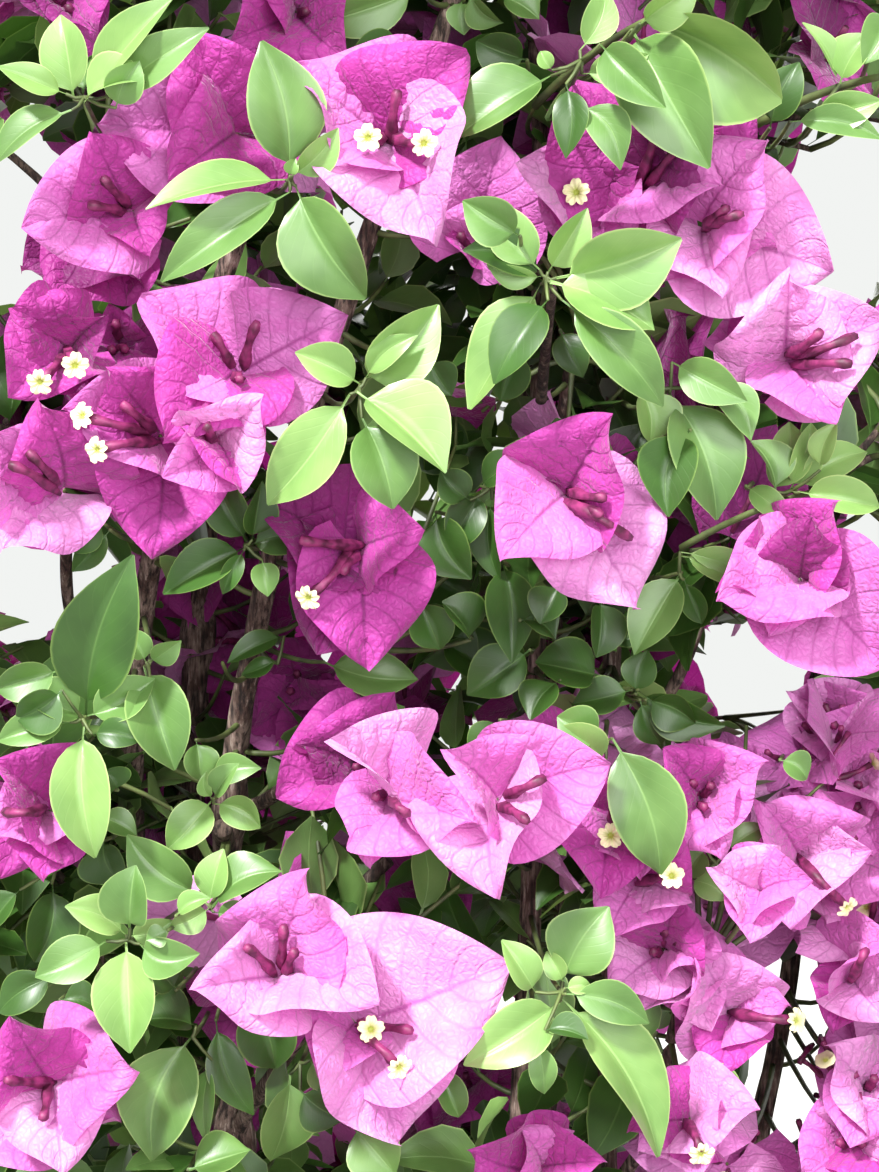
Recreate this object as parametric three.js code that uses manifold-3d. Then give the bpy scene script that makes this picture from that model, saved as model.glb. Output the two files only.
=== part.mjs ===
// A bougainvillea bush: seven twining woody stems from one root crown, short boughs,
// and masses of leafy, flowering twigs round them. Millimetres, +Z up, seen from -Y.
// The origin is the middle of the flat cut under the root crown, at ground level.
import * as THREE from "three";
import { mergeVertices } from "three/addons/utils/BufferGeometryUtils.js";
import Module from "manifold-3d";

const wasm = await Module();
wasm.setup();

// Clearances
const GAP = 0.3; // between two solids that meet end to end
const LEAF_CLEARANCE = 1.5; // between a leaf or twig and a limb that isn't its own
const CELL_MARGIN = 0.4; // kept on each side of the plane between two masses

// Root crown
const ROOT_TOP = 96; // height of the cuts where the stems begin
const ROOT_RING = 29; // distance of the stems from the axis at that height
const ROOT_PROFILE = [
  [0, 0],
  [60, 0],
  [55, 7],
  [43, 22],
  [37, 42],
  [35, 60],
  [26, 76],
  [0, 82],
];
const ROOT_SEGMENTS = 15;
const ROOT_LOBES = 5;
const LOBE_DEPTH = 0.13; // share of the radius by which the root flare swells and pinches
const LOBE_HEIGHT = 55;

// Stems
const SPREAD_HEIGHT = 640; // where a stem has reached its full distance from the axis
const TWINE_HEIGHT = 750; // where its own twist has taken over from the root ring's order
const SIDE_HEIGHT = 800; // where the angle named side is measured
const STRAIGHT_HEIGHT = 560; // below this the stems no longer twist
const CLOSE_FROM = 950; // above this the stems lean in again
const CLOSE_TO = 1200;
const CLOSE_SHARE = 0.3;
const STEM_SIDES = 7;
const STEM_STEP = 110;
const FOOT_STEP = 40; // on the stretches inside the root crown

// base, side: angles round the axis in degrees, 0 towards +X and 270 towards the viewer.
// twist: degrees per metre. spread, top, rootRadius, tipRadius: millimetres.
const STEMS = {
  left_front: { base: 203, side: 208, twist: 195, spread: 140, top: 1090, rootRadius: 10, tipRadius: 3 },
  front: { base: 250, side: 224, twist: 210, spread: 100, top: 1150, rootRadius: 9, tipRadius: 3 },
  left_back: { base: 148, side: 150, twist: -60, spread: 131, top: 1000, rootRadius: 11, tipRadius: 4.5 },
  centre: { base: 297, side: 310, twist: 10, spread: 65, top: 1050, rootRadius: 8, tipRadius: 3 },
  right: { base: 340, side: 330, twist: 0, spread: 87, top: 940, rootRadius: 8.5, tipRadius: 3 },
  back: { base: 90, side: 62, twist: 60, spread: 112, top: 1110, rootRadius: 9.5, tipRadius: 3 },
  far_right: { base: 27, side: 12, twist: -20, spread: 180, top: 720, rootRadius: 9, tipRadius: 3.5 },
};

// Boughs
const COLLAR = 6; // how far a side limb's swollen foot stands out of its parent
const COLLAR_STEP = 20;
const SHORTEST_BOUGH = 18; // where there is less room the mass's own lead grows from the stem
const BOUGH_RADIUS = 3.6;
const BOUGH_TIP_RADIUS = 2.6;
const BOUGH_SIDES = 5;
const BOUGH_STEP = 55;
const FORK_RISE = 0.5; // how far a side limb sets out along its parent, for each step away from it
const BOUGH_BEND = 0.45; // share of a bough's length at which it bends
const ENTRY = 0.82; // share of a mass's reach at which its bough ends

// Leads and twigs: a mass's lead grows on from its bough, or from the tip of its stem
const LEAD_SIDES = 4;
const LEAD_END = 0.35; // share of the reach, beyond the middle, where the lead ends
const LEAD_BEND = 0.4;
const TIP_RISE = 1.1; // how steeply a mass at a stem's tip grows, and one at its side
const SIDE_RISE = 0.35;
const TWIG_SPACE = 25; // a mass has one twig for each such step of its reach, besides its lead
const TWIG_SIDES = 3;
const TWIG_RADIUS = 2.8;
const TWIG_TIP_RADIUS = 2;
const TWIG_STEP = 60;
const TWIG_BEND = 0.35;
const FIRST_TWIG = 0.3; // the stretch of the lead that the twigs leave from
const LAST_TWIG = 0.9;
const TIP_INSET = 46; // twigs stop this far inside the reach, and their leaves fill the rest
const CAP_SHARE = 1.4; // 2 would spread the twigs all round, 1 over the outer half only
const GOLDEN_ANGLE = Math.PI * (3 - Math.sqrt(5));

// Leaves and bracts, fewer and larger than life so that the crown closes
const LEAF = { length: 114, width: 66, widest: 0.42, fold: 0.28, thickness: 0.024, spread: 60 };
const BRACT = { length: 90, width: 80, widest: 0.4, fold: 0.22, thickness: 0.028, spread: 64 };
const BRACT_PLACES = [4, 7, 10]; // how far from a twig's end the three bracts of a bloom sit
const LEAF_PLACES = [4, 22, 40]; // and on a twig with no bloom its three leaves
const FIRST_BLADE = 0.3; // no blade sits closer to the twig's root, as a share of its length
const SMALLEST = 0.88; // the blades' sizes, as shares of the sizes above
const SIZE_RANGE = 0.24;
const LARGE_MASS = 110; // masses smaller than this have smaller blades
// How a blade may stand, tried in turn until it fits: share of its spread, lean to one side
// in radians, share of its size.
const STANCES = [
  [1, 0, 1],
  [0.75, 0.4, 1],
  [0.75, -0.4, 1],
  [1.25, 0, 1],
  [0.5, 0, 0.85],
  [1, 0.5, 0.85],
  [1, -0.5, 0.85],
  [1.5, 0, 0.85],
  [0.9, 0, 0.7],
  [0.5, 0, 0.7],
  [1.3, 0, 0.6],
];
const OVERREACH = 1.14; // a leaf may pass its mass's ellipsoid by this factor
const SLIVERS = [0.03, 0.05, 0.08, 0.12, 0.2]; // facets this close to flat are drawn together
const MERGES = [1e-3, 1e-4]; // corners this close count as one when a solid is tested
const SHARED_VOLUME = 0.001; // a blade may share this much of its volume with what it grows on

// The seeded rule
const FIRST_SEED = 1000;
const SEED_STEP = 77; // between one mass and the next
const PHASE_STEP = 0.37;
const BLOOM_STEP = 0.618; // deals blooms out evenly among a mass's bunches

// Masses of foliage: the stem that carries each, the height where it leaves that stem
// (or "tip"), its middle, its reach along x, y and z, and its share of blooms.
const massRow = (stem, leaves, middle, reach, blooms) => ({ stem, leaves, middle, reach, blooms });
const MASSES = {
  crown_tip: massRow("front", "tip", [5, -15, 1255], [110, 110, 118], 0.5),
  top_front: massRow("left_front", "tip", [-48, -122, 1150], [114, 98, 106], 0.5),
  top_back: massRow("back", "tip", [-11, 107, 1170], [118, 106, 120], 0.5),
  top_right: massRow("centre", "tip", [104, -46, 1110], [104, 100, 104], 0.45),
  top_left: massRow("left_back", "tip", [-132, 46, 1065], [106, 108, 108], 0.45),
  upper_right: massRow("right", "tip", [154, -36, 975], [102, 104, 86], 0.45),
  upper_left: massRow("left_front", 860, [-154, -66, 968], [102, 94, 86], 0.6),
  upper_front: massRow("front", 850, [-45, -163, 950], [88, 74, 100], 0.4),
  upper_front_right: massRow("centre", 830, [66, -133, 935], [94, 80, 96], 0.45),
  upper_back: massRow("back", 825, [74, 128, 960], [124, 98, 110], 0.45),
  middle_left: massRow("left_front", 735, [-175, -87, 868], [104, 96, 70], 0.9),
  middle_front: massRow("front", 690, [5, -143, 800], [100, 80, 80], 0.5),
  middle_right: massRow("right", 720, [148, -87, 838], [100, 96, 82], 0.6),
  middle_back: massRow("left_back", 760, [-111, 128, 880], [120, 100, 108], 0.45),
  right_shoulder: massRow("far_right", "tip", [228, 46, 800], [108, 116, 100], 0.7),
  lower_left: massRow("left_front", 560, [-175, -76, 695], [110, 100, 94], 0.15),
  lower_front: massRow("front", 540, [-26, -148, 660], [108, 86, 92], 0.8),
  lower_front_right: massRow("right", 520, [117, -133, 665], [98, 94, 96], 0.45),
  lower_right: massRow("far_right", 500, [260, -10, 620], [128, 124, 108], 0.85),
  lower_back: massRow("back", 500, [80, 184, 670], [146, 118, 130], 0.45),
  lower_back_left: massRow("left_back", 500, [-180, 112, 650], [132, 122, 118], 0.45),
  skirt_front: massRow("front", 270, [-50, -215, 410], [136, 112, 120], 0.5),
  skirt_left: massRow("left_front", 270, [-245, -55, 420], [126, 130, 122], 0.5),
  skirt_right_front: massRow("right", 250, [165, -180, 385], [130, 118, 120], 0.5),
  skirt_right: massRow("far_right", 230, [285, 70, 365], [126, 136, 122], 0.5),
  skirt_back: massRow("back", 250, [95, 245, 385], [136, 120, 130], 0.5),
  skirt_back_left: massRow("left_back", 250, [-150, 210, 380], [134, 126, 126], 0.5),
};

// Gaps where the sky shows through the crown, as round windows along Y: x, z, radius
const SKY_GAPS = [
  [-178, 800, 34],
  [150, 930, 26],
];

// Colours
const BARK = new THREE.MeshStandardMaterial({ color: 0x6b5549, roughness: 0.9, metalness: 0 });
const FOLIAGE = new THREE.MeshStandardMaterial({ color: 0x5f8f3c, roughness: 0.5, metalness: 0 });
const BLOSSOM = new THREE.MeshStandardMaterial({ color: 0xc93da6, roughness: 0.7, metalness: 0 });
const BLOSSOM_SHARE = 0.6; // a mass with more blooms than this takes the blossom's colour

// A repeatable run of numbers from 0 to 1.
function seeded(seed) {
  let state = seed;
  return () => {
    state = (state * 1664525 + 1013904223) % 4294967296;
    return state / 4294967296;
  };
}

const smooth = (low, high, x) => THREE.MathUtils.smoothstep(x, low, high);

// A stem's centre line: a helix round the bush's axis, by height.
class StemCurve extends THREE.Curve {
  constructor(stem) {
    super();
    this.stem = stem;
    this.foot = 30;
    this.height = stem.top - this.foot;
  }
  at(z) {
    const { base, side, twist, spread } = this.stem;
    const own = side + (twist * (Math.max(z, STRAIGHT_HEIGHT) - SIDE_HEIGHT)) / 1000;
    const degrees = THREE.MathUtils.lerp(base, own, smooth(ROOT_TOP, TWINE_HEIGHT, z));
    const angle = THREE.MathUtils.degToRad(degrees);
    const full = THREE.MathUtils.lerp(ROOT_RING, spread, smooth(0, SPREAD_HEIGHT, z));
    const distance = full * (1 - CLOSE_SHARE * smooth(CLOSE_FROM, CLOSE_TO, z));
    return new THREE.Vector3(distance * Math.cos(angle), distance * Math.sin(angle), z);
  }
  getPoint(t, target = new THREE.Vector3()) {
    return target.copy(this.at(this.foot + this.height * t));
  }
  share(z) {
    return (z - this.foot) / this.height;
  }
  radius(z) {
    const { rootRadius, tipRadius, top } = this.stem;
    return THREE.MathUtils.mapLinear(z, ROOT_TOP, top, rootRadius, tipRadius);
  }
}

// Part of another curve, between two values of its parameter.
class Stretch extends THREE.Curve {
  constructor(whole, from, to) {
    super();
    Object.assign(this, { whole, from, to });
  }
  getPoint(t, target = new THREE.Vector3()) {
    return this.whole.getPoint(THREE.MathUtils.lerp(this.from, this.to, t), target);
  }
}

// A closed geometry as a solid: only positions count, and shared corners are merged.
function solidOf(geometry) {
  const bare = new THREE.BufferGeometry();
  bare.setAttribute("position", geometry.getAttribute("position"));
  bare.setIndex(geometry.index);
  const merged = mergeVertices(bare, 1e-3);
  const mesh = new wasm.Mesh({
    numProp: 3,
    vertProperties: merged.attributes.position.array,
    triVerts: new Uint32Array(merged.index.array),
  });
  return new wasm.Manifold(mesh);
}

function geometryOf(solid) {
  const mesh = solid.getMesh();
  const geometry = new THREE.BufferGeometry();
  geometry.setAttribute("position", new THREE.BufferAttribute(mesh.vertProperties, 3));
  geometry.setIndex(new THREE.BufferAttribute(mesh.triVerts, 1));
  geometry.computeVertexNormals();
  return geometry;
}

// True if every edge is shared by two faces, also when corners closer than the tolerances are merged.
function closesUp(solid) {
  const bare = geometryOf(solid);
  bare.deleteAttribute("normal");
  return MERGES.every((tolerance) => edgesPair(mergeVertices(bare, tolerance).index.array));
}

function edgesPair(array) {
  const edges = new Map();
  for (let i = 0; i < array.length; i += 3) {
    const face = [array[i], array[i + 1], array[i + 2]];
    if (new Set(face).size < 3) continue;
    face.forEach((from, k) => {
      const ends = [from, face[(k + 1) % 3]].sort((a, b) => a - b).join();
      edges.set(ends, (edges.get(ends) ?? 0) + 1);
    });
  }
  return [...edges.values()].every((faces) => faces === 2);
}

// A solid without needless edges, and without the loose scraps and sealed hollows that fusing leaves.
function oneBody(solid) {
  const tries = SLIVERS.map((sliver) => {
    const bodies = solid.asOriginal().simplify(sliver).decompose();
    return bodies.reduce((largest, body) => (body.volume() > largest.volume() ? body : largest));
  });
  return tries.find(closesUp) ?? tries[0];
}

// A tapering limb: a capped cylinder bent along a curve, straight from ring to ring.
class Limb {
  constructor(curve, rootRadius, tipRadius, sides, step) {
    const length = curve.getLength();
    const steps = Math.max(2, Math.round(length / step));
    Object.assign(this, { length, steps, sides, rootRadius, tipRadius });
    this.rings = curve.getSpacedPoints(steps);
    this.frames = curve.computeFrenetFrames(steps);
  }
  solid() {
    const geometry = new THREE.CylinderGeometry(this.tipRadius, this.rootRadius, 1, this.sides, this.steps);
    const position = geometry.getAttribute("position");
    for (let i = 0; i < position.count; i++) {
      const ring = Math.round((position.getY(i) + 0.5) * this.steps);
      const point = this.rings[ring].clone();
      point.addScaledVector(this.frames.binormals[ring], position.getX(i));
      point.addScaledVector(this.frames.normals[ring], position.getZ(i));
      position.setXYZ(i, point.x, point.y, point.z);
    }
    return solidOf(geometry);
  }
  ringBefore(share) {
    return THREE.MathUtils.clamp(Math.floor(share * this.steps), 0, this.steps - 1);
  }
  at(share) {
    const ring = this.ringBefore(share);
    return this.rings[ring].clone().lerp(this.rings[ring + 1], share * this.steps - ring);
  }
  atHeight(z) {
    const above = this.rings.findIndex((point) => point.z > z);
    const [low, high] = [this.rings[above - 1], this.rings[above]];
    return low.clone().lerp(high, (z - low.z) / (high.z - low.z));
  }
  heading(share) {
    const ring = this.ringBefore(share);
    return this.rings[ring + 1].clone().sub(this.rings[ring]).normalize();
  }
  // The direction square out of one of its sides.
  outOf(side, share) {
    const ring = this.ringBefore(share);
    const angle = ((side + 0.5) * 2 * Math.PI) / this.sides;
    const out = this.frames.binormals[ring].clone().multiplyScalar(Math.sin(angle));
    out.addScaledVector(this.frames.normals[ring], Math.cos(angle));
    const heading = this.heading(share);
    return out.addScaledVector(heading, -out.dot(heading)).normalize();
  }
}

// A leaf or bract: an octahedron drawn out to a thin folded blade with its root at the origin, along +Y.
function blade({ length, width, widest, fold, thickness }, scale) {
  const geometry = new THREE.OctahedronGeometry(1);
  const position = geometry.getAttribute("position");
  for (let i = 0; i < position.count; i++) {
    const x = Math.round(position.getX(i));
    const y = Math.round(position.getY(i));
    const z = Math.round(position.getZ(i));
    const along = y === 0 ? widest : (y + 1) / 2;
    const across = (x * width) / 2;
    const rise = Math.abs(across) * fold + (z * thickness * length) / 2;
    position.setXYZ(i, across * scale, along * length * scale, rise * scale);
  }
  return geometry;
}

// A blade placed with its root at a point, pointing along one direction with its face along another.
function placedBlade(kind, scale, root, along, face) {
  const side = new THREE.Vector3().crossVectors(along, face).normalize();
  const up = new THREE.Vector3().crossVectors(side, along).normalize();
  const matrix = new THREE.Matrix4().makeBasis(side, along.clone().normalize(), up).setPosition(root);
  return blade(kind, scale).applyMatrix4(matrix);
}

// The direction at an angle from an axis, turned round it.
function tilted(axis, reference, spread, turn) {
  const side = new THREE.Vector3().crossVectors(axis, reference).normalize();
  return axis.clone().applyAxisAngle(side, spread).applyAxisAngle(axis, turn);
}

const UP = new THREE.Vector3(0, 0, 1);
const OUT = new THREE.Vector3(0.31, 0.23, 0.92).normalize(); // a direction that no twig follows

// The root crown: a lobed flare with the cut feet of the stems on it.
function rootCrown(stems) {
  const profile = ROOT_PROFILE.map(([r, z]) => new THREE.Vector2(r, z));
  const flare = new THREE.LatheGeometry(profile, ROOT_SEGMENTS);
  flare.rotateX(Math.PI / 2);
  const position = flare.getAttribute("position");
  for (let i = 0; i < position.count; i++) {
    const x = position.getX(i);
    const y = position.getY(i);
    const low = 1 - smooth(0, LOBE_HEIGHT, position.getZ(i));
    const swell = 1 + LOBE_DEPTH * low * Math.cos(ROOT_LOBES * Math.atan2(y, x));
    position.setX(i, x * swell);
    position.setY(i, y * swell);
  }
  let root = solidOf(flare);
  for (const curve of Object.values(stems)) {
    const foot = new Stretch(curve, 0, curve.share(ROOT_TOP - GAP / 2));
    root = root.add(new Limb(foot, curve.radius(0), curve.radius(ROOT_TOP), STEM_SIDES, FOOT_STEP).solid());
  }
  return root;
}

// What carries a mass: a lead from its stem's tip, a bough and a lead, or where the stem runs
// through the mass one whole curve.
function carrierOf(mass, curve, stemLimb) {
  const middle = new THREE.Vector3(...mass.middle);
  const reach = new THREE.Vector3(...mass.reach);
  const fromTip = mass.leaves === "tip";
  const outward = new THREE.Vector3(middle.x, middle.y, 0).normalize();
  outward.addScaledVector(UP, fromTip ? TIP_RISE : SIDE_RISE).normalize();
  const end = middle.clone().add(outward.clone().multiply(reach).multiplyScalar(LEAD_END));
  const place = { outward, middle, reach };
  if (fromTip) {
    const lead = leadCurve(curve.at(curve.stem.top), curve.getTangent(1), end);
    return { ...place, lead, radius: curve.stem.tipRadius };
  }
  const root = stemLimb.atHeight(mass.leaves);
  const away = middle.clone().sub(root);
  const distance = away.clone().divide(reach).length();
  const entry = middle.clone().addScaledVector(away, -ENTRY / distance);
  const along = curve.getTangent(curve.share(mass.leaves));
  const way = away.clone().addScaledVector(along, -away.dot(along)).normalize();
  way.addScaledVector(along, FORK_RISE).normalize();
  const roomForBough = root.distanceTo(entry) - curve.radius(mass.leaves);
  if (distance > ENTRY && roomForBough > SHORTEST_BOUGH) {
    const bough = bentCurve(root, way, entry, BOUGH_BEND);
    return { ...place, bough, lead: leadCurve(entry, bough.getTangent(1), end), radius: BOUGH_TIP_RADIUS };
  }
  return { ...place, whole: bentCurve(root, way, end, LEAD_BEND), radius: BOUGH_TIP_RADIUS };
}

// A curve that sets out one way and bends to its end.
function bentCurve(start, way, end, bend) {
  const corner = start.clone().addScaledVector(way, start.distanceTo(end) * bend);
  return new THREE.QuadraticBezierCurve3(start, corner, end);
}

function leadCurve(foot, heading, end) {
  return bentCurve(foot.clone().addScaledVector(heading, GAP), heading, end, LEAD_BEND);
}

// Splits a side limb's curve just outside its parent: the collar, which belongs to the parent,
// and the rest.
function collared(curve, parentRadius) {
  const cut = curve.getUtoTmapping(0, parentRadius + COLLAR);
  const next = curve.getUtoTmapping(0, parentRadius + COLLAR + GAP);
  return [new Stretch(curve, 0, cut), new Stretch(curve, next, 1)];
}

// True if every corner of a geometry lies in its mass's own space: its ellipsoid, its side of the
// plane to each other mass, and clear of the windows where the sky shows.
function keepsToItsSpace(geometry, mass, others) {
  const position = geometry.getAttribute("position");
  const point = new THREE.Vector3();
  for (let i = 0; i < position.count; i++) {
    point.fromBufferAttribute(position, i);
    if (point.clone().sub(mass.middle).divide(mass.reach).length() > OVERREACH) return false;
    for (const other of others) {
      const between = other.middle.clone().sub(mass.middle);
      const gap = between.length();
      const plane = (gap * gap + mass.size ** 2 - other.size ** 2) / (2 * gap);
      if (point.clone().sub(mass.middle).dot(between) / gap > plane - CELL_MARGIN) return false;
    }
    if (SKY_GAPS.some(([x, z, r]) => Math.hypot(point.x - x, point.z - z) < r)) return false;
  }
  return true;
}

// The directions in which a mass's twigs end, spread evenly over the outer part of a sphere.
function twigWays(outward, count, phase) {
  const ways = [];
  for (let k = 0; k < count; k++) {
    const cosine = 1 - (CAP_SHARE * (k + 0.5)) / count;
    ways.push(tilted(outward, OUT, Math.acos(cosine), k * GOLDEN_ANGLE + phase));
  }
  return ways;
}

// A mass's twigs: each leaves the lead and bends to its own place near the edge of the reach.
function twigsOf(mass, random) {
  const phase = random() * 2 * Math.PI;
  const inset = mass.reach.clone().subScalar(TIP_INSET);
  return twigWays(mass.outward, Math.round(mass.size / TWIG_SPACE), phase).map((way) => {
    const end = mass.middle.clone().add(way.clone().multiply(inset));
    const share = THREE.MathUtils.lerp(FIRST_TWIG, LAST_TWIG, (way.dot(mass.outward) + 1) / 2);
    const start = mass.limb.at(share);
    const corner = start.clone().lerp(end, TWIG_BEND);
    corner.addScaledVector(mass.limb.heading(share), start.distanceTo(end) * TWIG_BEND);
    const curve = new THREE.QuadraticBezierCurve3(start, corner, end);
    return new Limb(curve, TWIG_RADIUS, TWIG_TIP_RADIUS, TWIG_SIDES, TWIG_STEP);
  });
}

// A blade that leaves one side of a limb, in each of its stances.
function bladeOn(limb, share, side, kind, size) {
  const heading = limb.heading(share);
  const out = limb.outOf(side, share);
  const across = new THREE.Vector3().crossVectors(heading, out);
  const root = limb.at(share);
  return STANCES.map(([spreadShare, lean, sizeShare]) => {
    const spread = THREE.MathUtils.degToRad(kind.spread) * spreadShare;
    const away = out.clone().multiplyScalar(Math.cos(lean)).addScaledVector(across, Math.sin(lean));
    const along = heading.clone().multiplyScalar(Math.cos(spread)).addScaledVector(away, Math.sin(spread));
    return placedBlade(kind, size * sizeShare, root, along, heading);
  });
}

// The blades of one limb: the three bracts of a bloom, or three leaves one behind the other.
function bladesOf(limb, isBloom, scale, random) {
  const places = isBloom ? BRACT_PLACES : LEAF_PLACES;
  const first = Math.floor(random() * limb.sides);
  return places.map((back, k) => {
    const size = scale * (SMALLEST + SIZE_RANGE * random());
    const share = Math.max(FIRST_BLADE, 1 - back / limb.length);
    return bladeOn(limb, share, first + k, isBloom ? BRACT : LEAF, size);
  });
}

// One mass of foliage: the lead, its twigs and their leaves and blooms, fused to one solid.
function grow(mass, others, obstacles, random) {
  let solid = mass.limb.solid();
  const clear = (piece) => piece.minGap(obstacles, 2 * LEAF_CLEARANCE) > LEAF_CLEARANCE;
  const limbs = [mass.limb];
  for (const twig of twigsOf(mass, random)) {
    const twigSolid = twig.solid();
    if (!keepsToItsSpace(geometryOf(twigSolid), mass, others) || !clear(twigSolid)) continue;
    solid = solid.add(twigSolid);
    limbs.push(twig);
  }
  const scale = Math.min(1, mass.size / LARGE_MASS);
  const blades = limbs.flatMap((limb, k) => {
    const isBloom = (k * BLOOM_STEP + mass.phase) % 1 < mass.blooms;
    return bladesOf(limb, isBloom, scale, random);
  });
  const fits = (leaf) => leaf.intersect(solid).volume() < SHARED_VOLUME * leaf.volume() && clear(leaf);
  for (const stances of blades) {
    const inside = stances.filter((geometry) => keepsToItsSpace(geometry, mass, others));
    const leaf = inside.map(solidOf).find(fits);
    if (leaf && closesUp(solid.add(leaf))) solid = solid.add(leaf);
  }
  return solid;
}

function bush() {
  const group = new THREE.Group();
  const addNode = (name, solid, material) => {
    const mesh = new THREE.Mesh(geometryOf(oneBody(solid)), material);
    mesh.name = name;
    group.add(mesh);
  };

  const curves = {};
  const stems = {};
  const stemSolids = {};
  for (const [name, stem] of Object.entries(STEMS)) {
    const curve = new StemCurve(stem);
    curves[name] = curve;
    const line = new Stretch(curve, curve.share(ROOT_TOP + GAP / 2), 1);
    stems[name] = new Limb(line, curve.radius(ROOT_TOP), curve.stem.tipRadius, STEM_SIDES, STEM_STEP);
    stemSolids[name] = stems[name].solid();
  }

  const masses = Object.entries(MASSES).map(([name, mass], index) => {
    const curve = curves[mass.stem];
    const carrier = carrierOf(mass, curve, stems[mass.stem]);
    const made = { name, blooms: mass.blooms, phase: (index * PHASE_STEP) % 1, ...carrier };
    made.size = Math.cbrt(made.reach.x * made.reach.y * made.reach.z);
    const side = made.bough ?? made.whole;
    if (side) {
      const [collar, rest] = collared(side, curve.radius(mass.leaves));
      const radius = made.bough ? BOUGH_RADIUS : BOUGH_TIP_RADIUS;
      const foot = new Limb(collar, radius, radius, BOUGH_SIDES, COLLAR_STEP);
      stemSolids[mass.stem] = stemSolids[mass.stem].add(foot.solid());
      if (made.bough) {
        made.boughSolid = new Limb(rest, radius, BOUGH_TIP_RADIUS, BOUGH_SIDES, BOUGH_STEP).solid();
      } else {
        made.lead = rest;
      }
    }
    made.limb = new Limb(made.lead, made.radius, TWIG_TIP_RADIUS, LEAD_SIDES, TWIG_STEP);
    return made;
  });

  const root = rootCrown(curves);
  addNode("root_crown", root, BARK);
  Object.entries(stemSolids).forEach(([name, solid]) => addNode(name + "_stem", solid, BARK));
  const limbs = [root, ...Object.values(stemSolids)];
  for (const mass of masses) {
    if (!mass.boughSolid) continue;
    addNode(mass.name + "_bough", mass.boughSolid, BARK);
    limbs.push(mass.boughSolid);
  }

  masses.forEach((mass, index) => {
    const others = masses.filter((other) => other !== mass);
    const obstacles = wasm.Manifold.union([...limbs, ...others.map((other) => other.limb.solid())]);
    const own = keepClearOfFoot(obstacles, mass.limb.at(0), mass.radius);
    const solid = grow(mass, others, own, seeded(FIRST_SEED + SEED_STEP * index));
    addNode(mass.name, solid, mass.blooms > BLOSSOM_SHARE ? BLOSSOM : FOLIAGE);
  });
  return group;
}

// The limbs without the few millimetres where a mass's own lead meets them.
function keepClearOfFoot(obstacles, foot, radius) {
  const ball = new THREE.IcosahedronGeometry(radius * 2 + COLLAR, 1);
  ball.translate(foot.x, foot.y, foot.z);
  return obstacles.subtract(solidOf(ball));
}

export default bush();
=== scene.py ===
# %% [markdown]
# A bougainvillea bush: seven twining woody stems from one root crown, and a crown of glossy
# green leaves and magenta blooms. What looks like a petal is a bract, a coloured leaf: three
# bracts stand round three slim tubes, and some tubes open as a small cream star.
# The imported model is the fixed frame, with stems, boughs and masses of foliage as plain solids.
# This lesson dresses it: bark with real relief on the wood, and in place of each mass its twigs,
# leaves and blooms, grown by the same rule. Sizes are millimetres until a mesh is written.

import math

import bpy
import numpy as np
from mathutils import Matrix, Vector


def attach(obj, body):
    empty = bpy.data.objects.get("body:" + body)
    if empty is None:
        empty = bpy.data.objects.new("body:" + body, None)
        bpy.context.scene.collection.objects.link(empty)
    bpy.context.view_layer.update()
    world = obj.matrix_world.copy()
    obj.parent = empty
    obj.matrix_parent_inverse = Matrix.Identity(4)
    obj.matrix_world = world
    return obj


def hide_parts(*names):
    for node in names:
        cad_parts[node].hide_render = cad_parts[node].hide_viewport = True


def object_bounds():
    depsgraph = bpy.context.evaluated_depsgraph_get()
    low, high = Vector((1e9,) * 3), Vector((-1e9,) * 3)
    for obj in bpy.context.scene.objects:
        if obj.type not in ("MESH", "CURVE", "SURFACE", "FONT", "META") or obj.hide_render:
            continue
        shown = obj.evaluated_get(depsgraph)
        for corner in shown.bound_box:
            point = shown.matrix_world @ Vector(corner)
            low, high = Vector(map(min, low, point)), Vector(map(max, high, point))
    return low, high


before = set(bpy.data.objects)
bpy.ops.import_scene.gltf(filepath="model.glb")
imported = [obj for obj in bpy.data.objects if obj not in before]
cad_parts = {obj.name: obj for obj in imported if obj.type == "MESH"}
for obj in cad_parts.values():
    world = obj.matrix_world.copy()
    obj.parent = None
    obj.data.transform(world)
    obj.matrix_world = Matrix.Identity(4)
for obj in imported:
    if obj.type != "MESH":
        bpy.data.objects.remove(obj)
cad_low, cad_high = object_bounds()
print("frame nodes:", len(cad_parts), "height", round(cad_high.z, 3), "m")

# %% [markdown]
# Every new piece is a grid of points, or many grids of one size, worked out as whole arrays.
# One function turns such grids into a mesh. It also writes a UV map whose first value runs
# along the grid's rows and whose second runs across, so that veins can follow a leaf.

# %% From grids to meshes
MM = 0.001


def unit(v):
    """Each vector divided by its own length."""
    return v / np.maximum(np.linalg.norm(v, axis=-1, keepdims=True), 1e-9)


def dot(a, b):
    """The product of two arrays of vectors, kept as a column."""
    return (a * b).sum(-1, keepdims=True)


SHEET, TUBE, DISC = range(3)


def corner_grid(rows, columns, kind):
    """Row and column numbers of the four corners of each quad, going round it."""
    i, j = np.meshgrid(np.arange(rows - 1), np.arange(columns - (kind == SHEET)), indexing="ij")
    row = np.stack([i, i, i + 1, i + 1], -1).reshape(-1, 4)
    column = np.stack([j, j + 1, j + 1, j], -1).reshape(-1, 4)
    return row, column


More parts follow.
